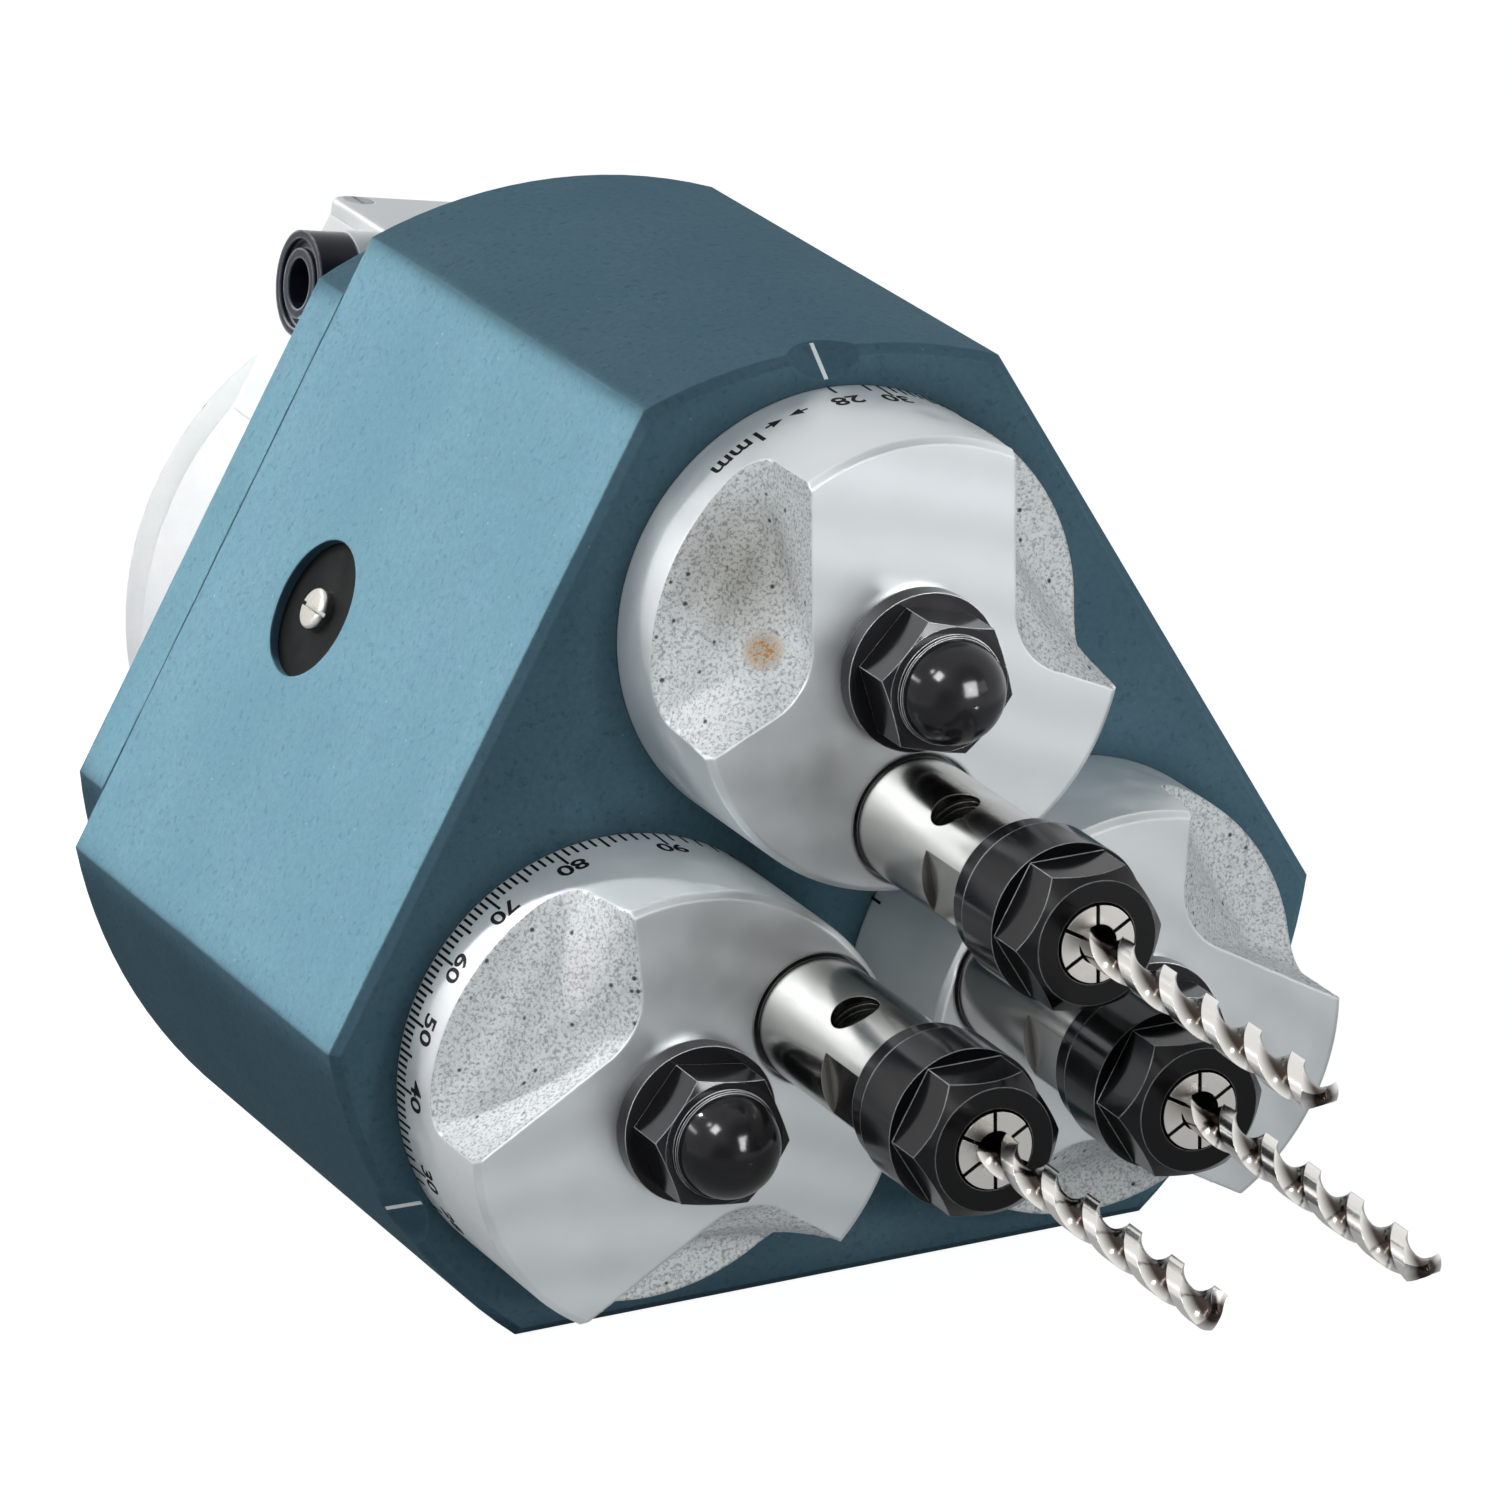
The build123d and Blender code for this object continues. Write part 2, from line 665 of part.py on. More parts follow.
# Motor: two shields, a frame, stator, rotor and through bolts
motor_bearing_front = shield_rear - shaft_bearing_width
shaft_passage = shaft_bearing_bore / 2 + end_float
with BuildPart() as motor_front_shield:
    seat_radius = shaft_bearing_od / 2
    turned(
        middle,
        [
            (shaft_passage, shield_front - motor_spigot_length),
            (motor_spigot_radius, shield_front - motor_spigot_length),
            (motor_spigot_radius, shield_front),
            (motor_radius, shield_front),
            (motor_radius, shield_rear),
            (seat_radius, shield_rear),
            (seat_radius, motor_bearing_front),
            (shaft_passage, motor_bearing_front),
        ],
    )
    bars(motor_bolt_points, motor_bolt_hole, shield_front, shield_rear, Mode.SUBTRACT)
save(motor_front_shield, "motor_front_shield")

with BuildPart() as motor_frame:
    ring(middle, motor_radius - motor_wall, motor_radius, shield_rear, frame_rear)
    bars(motor_bolt_points, motor_bolt_hole, shield_rear, frame_rear, Mode.SUBTRACT)
save(motor_frame, "motor_frame")

rear_bearing_rear = frame_rear + shaft_bearing_width
bolt_head_rear = motor_rear - motor_bolt_head_sink
bolt_head_front = bolt_head_rear - motor_bolt_head_height
with BuildPart() as motor_rear_shield:
    bars([middle], motor_radius, frame_rear, motor_rear)
    fillet(motor_rear_shield.faces().sort_by(Axis.Y)[-1].edges(), rear_shield_round)
    bars([middle], shaft_bearing_od / 2, frame_rear, rear_bearing_rear, Mode.SUBTRACT)
    bars([middle], shaft_passage, rear_bearing_rear, rear_bearing_rear + shaft_end_room, Mode.SUBTRACT)
    bars(motor_bolt_points, motor_bolt_hole, frame_rear, motor_rear, Mode.SUBTRACT)
    head_hole = motor_bolt_head_radius + motor_bolt_room
    bars(motor_bolt_points, head_hole, bolt_head_front, motor_rear, Mode.SUBTRACT)
save(motor_rear_shield, "motor_rear_shield")

with BuildPart() as motor_bolts:
    bars(motor_bolt_points, motor_bolt_radius, motor_bolt_front, bolt_head_front)
    bars(motor_bolt_points, motor_bolt_head_radius, bolt_head_front, bolt_head_rear)
    for point in motor_bolt_points:
        socket_front = bolt_head_rear - motor_bolt_head_height / 2
        prism(point, motor_bolt_head_radius, 0, socket_front, bolt_head_rear, Mode.SUBTRACT)
save(motor_bolts, "motor_bolts")

with BuildPart() as motor_bearings:
    bearing(middle, shaft_bearing_bore, shaft_bearing_od, motor_bearing_front, shaft_bearing_width)
    bearing(middle, shaft_bearing_bore, shaft_bearing_od, frame_rear, shaft_bearing_width)
save(motor_bearings, "motor_bearings")

stator_inner = rotor_radius + air_gap
stator_outer = motor_radius - motor_wall - seat_fit
core_front = shield_rear + stator_end_room
core_rear = frame_rear - stator_end_room
with BuildPart() as stator:
    ring(middle, stator_inner, stator_outer, core_front, core_rear)
    winding_inner = stator_inner + winding_radial_room
    winding_outer = stator_outer - winding_radial_room
    ring(middle, winding_inner, winding_outer, core_front - winding_thickness, core_front - face_gap)
    ring(middle, winding_inner, winding_outer, core_rear + face_gap, core_rear + winding_thickness)
save(stator, "stator")

with BuildPart() as motor_rotor:
    turned(
        middle,
        [
            (0, rear_hub_front),
            (shaft_radius, rear_hub_front),
            (shaft_radius, core_front + rotor_end_room),
            (rotor_radius, core_front + rotor_end_room),
            (rotor_radius, core_rear - rotor_end_room),
            (shaft_radius, core_rear - rotor_end_room),
            (shaft_radius, rear_bearing_rear),
            (0, rear_bearing_rear),
        ],
    )
save(motor_rotor, "motor_rotor")

# Terminal box, lid and cable gland
box_middle = shield_front + box_front_inset + box_length / 2
lid_plane = outward(box_height, 90 + box_turn, box_middle)
lid_screw_span_y = box_length - 2 * lid_screw_inset
lid_screw_span_x = box_width - box_end_wall
gland_depth = shield_front + box_front_inset + gland_place
gland_at = (-box_width / 2, box_height - gland_drop)


def gland_plane(distance):
    """Plane that faces out of the box's left wall, at a distance from it."""
    turn = math.radians(box_turn)
    left = Vector(-math.cos(turn), 0, -math.sin(turn))
    up = Vector(-math.sin(turn), 0, math.cos(turn))
    wall = Vector(0, front_y + gland_depth, axis_height) + up * gland_at[1] + left * -gland_at[0]
    return Plane(origin=wall + left * distance, x_dir=(0, 1, 0), z_dir=left)


with BuildPart() as terminal_box:
    half_top = box_width / 2
    half_foot = half_top + (box_height - box_foot) * math.tan(math.radians(box_splay))
    with BuildSketch(station(shield_front + box_front_inset, middle, box_turn)):
        with BuildLine():
            Polyline(
                (-half_top, box_height),
                (half_top, box_height),
                (half_foot, box_foot),
                (-half_foot, box_foot),
                close=True,
            )
        make_face()
    extrude(amount=-box_length)
    across = Axis((0, 0, 0), lid_plane.y_dir)
    end_walls = terminal_box.faces().sort_by(across)
    upright = [edge for wall in (end_walls[0], end_walls[-1]) for edge in wall.edges()]
    fillet([edge for edge in upright if abs((edge % 0.5).Y) < 0.5], box_corner_radius)
    bars([middle], motor_radius, shield_front, motor_rear, Mode.SUBTRACT)
    with BuildSketch(gland_plane(0)):
        Circle(gland_boss_radius)
    extrude(amount=gland_boss_length)
    with BuildSketch(lid_plane):
        Rectangle(box_length - 2 * box_side_wall, box_width - 2 * box_end_wall)
    extrude(amount=motor_radius + box_floor - box_height, mode=Mode.SUBTRACT)
    with Locations(lid_plane):
        with GridLocations(lid_screw_span_y, lid_screw_span_x, 2, 2):
            Hole(lid_screw_radius, lid_screw_length)
    with Locations(gland_plane(0)):
        Hole(gland_thread_radius, box_end_wall)
save(terminal_box, "terminal_box")

with BuildPart() as terminal_lid:
    with BuildSketch(lid_plane):
        RectangleRounded(box_length, box_width, box_corner_radius)
    extrude(amount=lid_thickness)
    lid_top = terminal_lid.faces().sort_by(Axis(lid_plane.origin, lid_plane.z_dir))[-1]
    fillet(lid_top.edges(), lid_edge_round)
    with Locations(lid_plane.offset(lid_thickness)):
        with GridLocations(lid_screw_span_y, lid_screw_span_x, 2, 2):
            CounterBoreHole(
                lid_screw_radius + seat_fit,
                lid_screw_head_radius + seat_fit,
                lid_screw_head_height,
                lid_thickness,
            )
save(terminal_lid, "terminal_lid")

with BuildPart() as lid_screws:
    with BuildSketch(lid_plane.offset(lid_thickness)):
        with GridLocations(lid_screw_span_y, lid_screw_span_x, 2, 2):
            Circle(lid_screw_radius)
    extrude(amount=-lid_screw_length)
    with BuildSketch(lid_plane.offset(lid_thickness)):
        with GridLocations(lid_screw_span_y, lid_screw_span_x, 2, 2):
            Circle(lid_screw_head_radius)
    extrude(amount=-lid_screw_head_height)
    with BuildSketch(lid_plane.offset(lid_thickness)):
        with GridLocations(lid_screw_span_y, lid_screw_span_x, 2, 2):
            Rectangle(2 * lid_screw_head_radius, lid_screw_slot)
    extrude(amount=-lid_screw_slot, mode=Mode.SUBTRACT)
save(lid_screws, "lid_screws")

with BuildPart() as cable_gland:
    with BuildSketch(gland_plane(-box_end_wall)):
        Circle(gland_thread_radius - seat_fit)
    extrude(amount=box_end_wall + gland_boss_length)
    with BuildSketch(gland_plane(gland_boss_length)):
        Circle(gland_cap_radius)
    extrude(amount=gland_cap_length)
    cap_end = gland_plane(gland_boss_length + gland_cap_length)
    with BuildSketch(cap_end):
        Circle(gland_ring_radius)
        Circle((gland_ring_radius + gland_bore_radius) / 2, mode=Mode.SUBTRACT)
    extrude(amount=-gland_ring_depth, mode=Mode.SUBTRACT)
    with Locations(cap_end):
        Hole(gland_bore_radius, gland_boss_length + gland_cap_length + box_end_wall)
save(cable_gland, "cable_gland")

# Lock studs, washers and idler bushes, one of each in every disc bore
stud_front = nut_seat - nut_height - stud_past_hex
with BuildPart() as lock_studs:
    bars(disc_centres, stud_radius - seat_fit, stud_front, bore_depth + stud_thread)
save(lock_studs, "lock_studs")

with BuildPart() as lock_washers:
    for centre in disc_centres:
        washer_rear = disc_face - face_gap
        ring(centre, stud_radius + running_fit, washer_radius, washer_rear - washer_thickness, washer_rear)
save(lock_washers, "lock_washers")

with BuildPart() as idler_bushes:
    for centre in disc_centres:
        ring(centre, stud_radius + seat_fit, bush_radius, ring_front, bore_depth)
        ring(centre, bush_radius, bush_flange_radius, bush_flange_front, bore_depth)
save(idler_bushes, "idler_bushes")


def between(low, high, share):
    """Point on the line through two points, at a share of the way."""
    return tuple(a + (b - a) * share for a, b in zip(low, high))


def pocket_outline(plane, side, share):
    """Outline of a finger pocket at a share of its height, from the floor to the disc face."""
    past_rim = (1 + pocket_overrun) * disc_radius
    floor_end = front_point(disc_radius, 180 + pocket_floor_end)
    face_end = front_point(disc_radius, 180 + pocket_face_end)
    corner = between((-web_half_width, pocket_floor_corner), (-web_half_width, pocket_face_corner), share)
    rim_end = between(floor_end, face_end, share)
    outer_end = between(corner, rim_end, 1 + pocket_overrun)
    points = [
        (-web_half_width, past_rim),
        corner,
        outer_end,
        (-past_rim, outer_end[1]),
        (-past_rim, past_rim),
    ]
    with BuildSketch(plane) as outline:
        with BuildLine():
            Polyline(*[(-side * x, z) for x, z in points], close=True)
        make_face()
        inner = outline.vertices().sort_by_distance((-side * corner[0], corner[1]))[0]
        fillet(inner, pocket_corner_radius)
    return outline.sketch


def pocket_cutter(centre, turn, side):
    """Solid that cuts one finger pocket: rounded along its bottom, past the rim and the face elsewhere."""
    over_share = pocket_over_face / (disc_thickness - pocket_floor)
    low = pocket_outline(station(-pocket_floor, centre, turn), side, 0)
    high = pocket_outline(station(disc_face - pocket_over_face, centre, turn), side, 1 + over_share)
    with BuildPart(mode=Mode.PRIVATE) as cutter:
        loft([low, high], ruled=True)
        bottom = cutter.faces().sort_by(Axis.Y)[-1]
        disc_axis = station(-pocket_floor, centre).origin
        web_corner_ramp = bottom.edges().sort_by_distance(disc_axis)[:3]
        fillet(web_corner_ramp, pocket_bottom_radius)
    return cutter.part


def make_disc(number):
    """Swivel disc: flange with two finger pockets, spigot, stud hole and stepped spindle bore."""
    centre = disc_centres[number]
    turn = disc_turns[number]
    spindle = spindle_centres[number]
    flange_rear = -face_gap
    with BuildPart() as disc:
        ring(centre, 0, disc_radius, disc_face, flange_rear)
        chamfer(disc.faces().sort_by(Axis.Y)[0].edges(), disc_edge_chamfer)
        ring(centre, 0, spigot_radius, flange_rear, spigot_length)
        for side in (-1, 1):
            add(pocket_cutter(centre, turn, side), mode=Mode.SUBTRACT)
        bars([centre], stud_radius + running_fit, disc_face, spigot_length, Mode.SUBTRACT)
        bore = spindle_bearing_od / 2
        passage = spindle_bearing_bore / 2 + end_float
        turned(
            spindle,
            [
                (0, disc_face),
                (shank_hole_radius, disc_face),
                (shank_hole_radius, front_spindle_bearing),
                (bore, front_spindle_bearing),
                (bore, -spindle_bearing_lip),
                (passage, -spindle_bearing_lip),
                (passage, spigot_length),
                (0, spigot_length),
            ],
            Mode.SUBTRACT,
        )
    save(disc, f"swivel_disc_{number + 1}")


def make_spindle_bearings(number):
    """Two ball bearings and the sleeve that keeps them apart."""
    at = spindle_centres[number]
    with BuildPart() as bearings:
        width = spindle_bearing_width
        bearing(at, spindle_bearing_bore, spindle_bearing_od, front_spindle_bearing, width)
        bearing(at, spindle_bearing_bore, spindle_bearing_od, rear_spindle_bearing, width)
        sleeve_outer = spindle_bearing_od / 2 - seat_fit
        sleeve_inner = sleeve_outer - (spindle_bearing_od - spindle_bearing_bore) / 2 * race_share
        sleeve_front = front_spindle_bearing + width + seat_fit
        ring(at, sleeve_inner, sleeve_outer, sleeve_front, rear_spindle_bearing - seat_fit)
    save(bearings, f"spindle_bearings_{number + 1}")


def make_lock_nut(number):
    """Domed nut: chamfered hexagon, neck and hollow dome."""
    centre = disc_centres[number]
    nut_front = nut_seat - nut_height
    neck_front = nut_front - nut_neck_length
    corner = nut_flats / 2 / math.cos(math.pi / 6)
    with BuildPart() as nut:
        prism(centre, nut_flats, nut_turns[number], nut_front, nut_seat)
        bevel = corner - nut_flats / 2
        turned(
            centre,
            [(nut_flats / 2, nut_front), (corner + bevel, nut_front), (corner + bevel, nut_front + bevel)],
            Mode.SUBTRACT,
        )
        ring(centre, 0, nut_neck_radius, neck_front, nut_front)
        with BuildSketch(Plane(origin=(centre[0], front_y, axis_height + centre[1]))) as half_dome:
            with BuildLine():
                side = (nut_dome_radius, neck_front)
                top = (0, neck_front - nut_dome_radius)
                half_way = nut_dome_radius * math.sqrt(0.5)
                ThreePointArc(side, (half_way, neck_front - half_way), top)
                Polyline(top, (0, nut_front), (nut_dome_radius, nut_front), side)
            make_face()
        revolve(half_dome.sketch, axis=Axis((centre[0], front_y, axis_height + centre[1]), (0, 1, 0)))
        bars([centre], stud_radius + running_fit, stud_front - stud_end_room, nut_seat, Mode.SUBTRACT)
    save(nut, f"lock_nut_{number + 1}")


def make_idler(number, phase):
    """Idler gear on its bush."""
    centre = disc_centres[number]
    with BuildPart() as idler:
        gear(centre, idler_teeth, phase, pinion_front, idler_rear)
        bars([centre], bush_radius + running_fit, pinion_front, idler_rear, Mode.SUBTRACT)
    save(idler, f"idler_gear_{number + 1}")


def make_spindle(number, phase):
    """Spindle: pinion cut on its rear end, bearing journal, collar, and nose with a screw flat."""
    at = spindle_centres[number]
    journal = spindle_bearing_bore / 2 - running_fit
    collar_rear = front_spindle_bearing - face_gap
    with BuildPart() as spindle:
        gear(at, pinion_teeth, phase, pinion_front, pinion_rear)
        bars([at], journal, spindle_front, pinion_front)
        bars([at], spindle_collar_radius, collar_front, collar_rear)
        with BuildSketch(screw_plane(number, set_screw_seat)):
            Circle(set_screw_radius)
        extrude(amount=journal, mode=Mode.SUBTRACT)
    save(spindle, f"spindle_{number + 1}")


def make_thrust_ring(number):
    """Thrust ring between the disc's spigot and the pinion."""
    at = spindle_centres[number]
    inner = spindle_bearing_bore / 2 + running_fit
    with BuildPart() as washer:
        ring(at, inner, thrust_ring_radius, ring_front, ring_front + thrust_ring_thickness)
    save(washer, f"thrust_ring_{number + 1}")


def collet_radius(depth):
    """Radius of the collet's long taper at a depth."""
    return collet_rear_radius + (collet_rear - depth) * math.tan(math.radians(collet_taper))


def make_chuck(number):
    """Chuck body: bored rear for the spindle, tapered front for the collet, flats and a screw hole."""
    at = spindle_centres[number]
    bore = spindle_bearing_bore / 2
    bore_front = spindle_front - end_float
    relief = drill_rear + end_float
    with BuildPart() as chuck:
        turned(
            at,
            [
                (bore, chuck_rear),
                (chuck_radius, chuck_rear),
                (chuck_radius, chuck_shoulder),
                (chuck_nose_radius, chuck_shoulder),
                (chuck_nose_radius, chuck_front),
                (collet_radius(chuck_front) + seat_fit, chuck_front),
                (collet_rear_radius + seat_fit, collet_rear),
                (collet_rear_radius + seat_fit, collet_rear + end_float),
                (drill_radius + seat_fit, collet_rear + end_float),
                (drill_radius + seat_fit, relief),
                (0, relief),
                (0, bore_front),
                (bore, bore_front),
            ],
        )
        for turn in (wrench_flat_turn, wrench_flat_turn + 180):
            with BuildSketch(station(chuck_shoulder, at, turn)):
                with Locations((wrench_flat_distance, 0)):
                    Rectangle(chuck_radius, 2 * chuck_radius, align=(Align.MIN, Align.CENTER))
            extrude(amount=-wrench_flat_length, mode=Mode.SUBTRACT)
        with BuildSketch(screw_plane(number, 0)):
            Circle(set_screw_radius)
        extrude(amount=chuck_radius, mode=Mode.SUBTRACT)
        for k in range(mouth_thread_count):
            groove_foot = chuck_radius - set_screw_sink + (k + 0.4) * mouth_thread_pitch
            with BuildSketch(screw_plane(number, groove_foot)):
                Circle(set_screw_radius + mouth_thread_depth)
            extrude(amount=mouth_thread_pitch / 2, mode=Mode.SUBTRACT)
    save(chuck, f"chuck_body_{number + 1}")


def screw_plane(number, distance):
    """Plane square to a chuck's set screw, at a distance from the spindle axis."""
    at = spindle_centres[number]
    turn = math.radians(set_screw_turn)
    facing = Vector(math.cos(turn), 0, math.sin(turn))
    axis_point = Vector(at[0], front_y + chuck_rear - set_screw_place, axis_height + at[1])
    return Plane(origin=axis_point + facing * distance, x_dir=(0, 1, 0), z_dir=facing)


def make_set_screw(number):
    """Grub screw that holds the chuck on the spindle's nose."""
    inner_end = set_screw_seat + seat_fit
    length = chuck_radius - set_screw_sink - inner_end
    with BuildPart() as screw:
        with BuildSketch(screw_plane(number, inner_end)):
            Circle(set_screw_radius - seat_fit)
        extrude(amount=length)
        with BuildSketch(screw_plane(number, inner_end + length)):
            RegularPolygon(set_screw_socket / 2, 6, major_radius=False)
        extrude(amount=-set_screw_socket_depth, mode=Mode.SUBTRACT)
    save(screw, f"set_screw_{number + 1}")


collet_land_rear = collet_rear - collet_taper_length
collet_land_front = collet_land_rear - collet_land
collet_cone_front = collet_land_front - collet_front_cone
collet_land_radius = collet_radius(collet_land_rear)


def make_collet(number):
    """Slit spring collet with a long rear taper and a short front cone."""
    at = spindle_centres[number]
    bore = drill_radius + seat_fit
    with BuildPart() as collet:
        turned(
            at,
            [
                (bore, collet_rear),
                (collet_rear_radius, collet_rear),
                (collet_land_radius, collet_land_rear),
                (collet_land_radius, collet_land_front),
                (collet_face_radius, collet_cone_front),
                (collet_face_radius, collet_front),
                (bore, collet_front),
            ],
        )
        with BuildSketch(station(collet_front, at)):
            for k in range(collet_slit_count // 2):
                slit_turn = (k + 0.5) * 360 / collet_slit_count
                Rectangle(4 * collet_face_radius, collet_slit, rotation=slit_turn)
        extrude(amount=-collet_slit_length, mode=Mode.SUBTRACT)
    save(collet, f"collet_{number + 1}")


def make_collet_nut(number):
    """Collet nut: rear collar, groove, round body, hexagon and front cone."""
    at = spindle_centres[number]
    thread = chuck_nose_radius + running_fit
    collar_rear = chuck_shoulder - collet_nut_gap
    groove_rear = collar_rear - nut_collar_length
    body_rear = groove_rear - nut_groove_length
    hex_rear = body_rear - collet_nut_round_length
    cone_rear = hex_rear - collet_nut_hex_length
    front = cone_rear - collet_nut_cone_length
    land_radius = collet_land_radius + collet_nut_gap
    thread_front = chuck_front - collet_nut_gap
    with BuildPart() as nut:
        turned(
            at,
            [
                (thread, collar_rear),
                (nut_collar_radius, collar_rear),
                (nut_collar_radius, groove_rear),
                (nut_groove_radius, groove_rear),
                (nut_groove_radius, body_rear),
                (collet_nut_radius, body_rear),
                (collet_nut_radius, cone_rear),
                (collet_nut_front_radius, front),
                (collet_face_radius + collet_nut_gap, front),
                (collet_face_radius + collet_nut_gap, collet_cone_front - collet_nut_gap),
                (land_radius, collet_land_front - collet_nut_gap),
                (land_radius, thread_front),
                (thread, thread_front),
            ],
        )
        with BuildSketch(station(front, at)):
            Circle(2 * collet_nut_radius)
            RegularPolygon(collet_nut_flats / 2, 6, major_radius=False, mode=Mode.SUBTRACT)
        extrude(amount=front - hex_rear, mode=Mode.SUBTRACT)
    save(nut, f"collet_nut_{number + 1}")


def make_drill(number):
    """Twist drill: plain shank, two helical flutes and a conical point."""
    at = spindle_centres[number]
    flute_rear = collet_front + flute_inset
    point_length = drill_radius / math.tan(math.radians(drill_point / 2))
    flute_length = flute_rear - drill_tip
    with BuildPart() as drill:
        start = station(flute_rear, at, drill_turns[number])
        with BuildSketch(start) as section:
            with BuildLine():
                for half in (0, 180):
                    heel = front_point(drill_radius, half - drill_half_land)
                    crown = front_point(drill_radius, half)
                    lip = front_point(drill_radius, half + drill_half_land)
                    wall_foot = front_point(flute_wall_radius, half + flute_wall_turn)
                    floor = front_point(drill_core_radius, half + flute_floor_turn)
                    slope_foot = front_point(drill_core_radius, half + flute_slope_turn)
                    next_heel = front_point(drill_radius, half + 180 - drill_half_land)
                    ThreePointArc(heel, crown, lip)
                    Line(lip, wall_foot)
                    ThreePointArc(wall_foot, floor, slope_foot)
                    Line(slope_foot, next_heel)
            make_face()
        path = Line(start.origin, start.origin - Vector(0, flute_length, 0), mode=Mode.PRIVATE)
        guide = start.location * Helix(drill_pitch, flute_length, drill_radius, mode=Mode.PRIVATE)
        sweep(section.sketch, path=path, binormal=guide.edge())
        bars([at], drill_radius, flute_rear, drill_rear)
        tip_base = drill_tip + point_length
        turned(
            at,
            [(0, drill_tip), (2 * drill_radius, drill_tip), (2 * drill_radius, tip_base + point_length)],
            Mode.SUBTRACT,
        )
    save(drill, f"drill_bit_{number + 1}")


for number, corner_angle in enumerate(corner_angles):
    idler_phase = mesh_phase(corner_angle, drive_teeth, drive_phase, idler_teeth)
    pinion_phase = mesh_phase(corner_angle + 180, idler_teeth, idler_phase, pinion_teeth)
    make_disc(number)
    make_spindle_bearings(number)
    make_lock_nut(number)
    make_idler(number, idler_phase)
    make_thrust_ring(number)
    make_spindle(number, pinion_phase)
    make_chuck(number)
    make_set_screw(number)
    make_collet(number)
    make_collet_nut(number)
    make_drill(number)
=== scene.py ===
# %% [markdown]
# A motor-driven boring head with three spindles. The CAD model gives every shape and place, in true metres.
# This lesson adds what CAD leaves out: the finishes, the cast pockets, the printed scales and the light.

# %% Load the CAD frame
import math

import bmesh
import bpy
from mathutils import Matrix, Vector


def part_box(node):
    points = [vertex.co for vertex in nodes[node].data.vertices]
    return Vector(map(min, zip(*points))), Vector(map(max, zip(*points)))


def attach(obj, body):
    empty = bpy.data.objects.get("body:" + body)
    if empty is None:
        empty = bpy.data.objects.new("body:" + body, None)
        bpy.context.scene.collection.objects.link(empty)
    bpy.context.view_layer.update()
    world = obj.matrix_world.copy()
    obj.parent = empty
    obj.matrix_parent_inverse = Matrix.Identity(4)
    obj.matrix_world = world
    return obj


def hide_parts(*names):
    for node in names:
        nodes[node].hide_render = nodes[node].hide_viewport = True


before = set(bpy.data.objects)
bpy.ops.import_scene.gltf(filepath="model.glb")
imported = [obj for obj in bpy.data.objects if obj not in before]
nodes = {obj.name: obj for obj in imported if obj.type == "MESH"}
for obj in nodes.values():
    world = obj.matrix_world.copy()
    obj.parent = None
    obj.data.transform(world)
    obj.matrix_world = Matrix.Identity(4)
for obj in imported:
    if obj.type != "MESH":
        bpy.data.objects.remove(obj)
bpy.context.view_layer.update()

MM = 0.001

# %% [markdown]
# The camera stands in front of the head, to its left and a little above, with a long lens. It could be set by
# eye, but fitting the corners of the housing in the picture is surer. That gives three axes and a point.

# %% Camera
VIEW_RIGHT = Vector((0.901179, -0.433288, -0.011736))
VIEW_DOWN = Vector((-0.156746, -0.300528, -0.940805))
VIEW_AHEAD = Vector((0.404113, 0.849673, -0.338745))
VIEW_POINT = Vector((-0.50683, -1.08636, 0.48856))
SENSOR_WIDTH = 36
LENS = 233.638
FARTHEST = 10

camera = bpy.data.objects.new("camera", bpy.data.cameras.new("camera"))
bpy.context.scene.collection.objects.link(camera)
placing = Matrix((VIEW_RIGHT, -VIEW_DOWN, -VIEW_AHEAD)).transposed().to_4x4()
placing.translation = VIEW_POINT
camera.matrix_world = placing
camera.data.sensor_width = SENSOR_WIDTH
camera.data.lens = LENS
camera.data.clip_end = FARTHEST
bpy.context.scene.camera = camera
bpy.context.scene.view_settings.view_transform = "Standard"
print("camera lens, mm:", camera.data.lens)

# %% [markdown]
# Every finish below is a small node tree. One function turns an sRGB hex value into the linear colour that
# the shader wants, and one function adds a node with its settings and links. That is all the help the trees
# need.

# %% Colour and node helpers
# A colour Mix node is asked for by socket number: its share, its two colours and the colour that comes out.
SHARE, COLOUR_A, COLOUR_B, MIXED = 0, 6, 7, 2
# The kinds of node that are used most have short names.
MATH, VECTOR_MATH, MIX = "ShaderNodeMath", "ShaderNodeVectorMath", "ShaderNodeMix"
NOISE, MAP_RANGE = "ShaderNodeTexNoise", "ShaderNodeMapRange"
WHITE = (1, 1, 1, 1)


def linear(code):
    """Linear RGBA of an sRGB hex value such as '628ea0'."""
    parts = [int(code[i:i + 2], 16) / 255 for i in (0, 2, 4)]
    return tuple(p / 12.92 if p <= 0.04045 else ((p + 0.055) / 1.055) ** 2.4 for p in parts) + (1.0,)


def add_node(tree, kind, inputs=None, **settings):
    """Adds one node. An input takes a plain value, or an output socket to link."""
    made = tree.nodes.new(kind)
    for name, value in settings.items():
        setattr(made, name, value)
    for name, value in (inputs or {}).items():
        if isinstance(value, bpy.types.NodeSocket):
            tree.links.new(value, made.inputs[name])
        else:
            made.inputs[name].default_value = value
    return made


print("paint blue in linear light:", [round(c, 3) for c in linear("628ea0")])

# %% [markdown]
# The head stands in front of nothing. A plain grey world would light it well, but polished metal needs
# something to mirror. So the world is white to the camera and in reflections, and lights matt surfaces only
# softly. Steel that mirrors nothing but white looks like grey paint. Two sides are therefore dim in
# reflections, as a real studio is: high in front, and level beside the camera.

# %% World
AMBIENT = 0.13
DIM_LEVEL = 0.10
DIM_FRONT = Vector((0.30, -0.80, 0.52)).normalized()
DIM_LEFT = Vector((-0.55, -0.83, 0.0)).normalized()

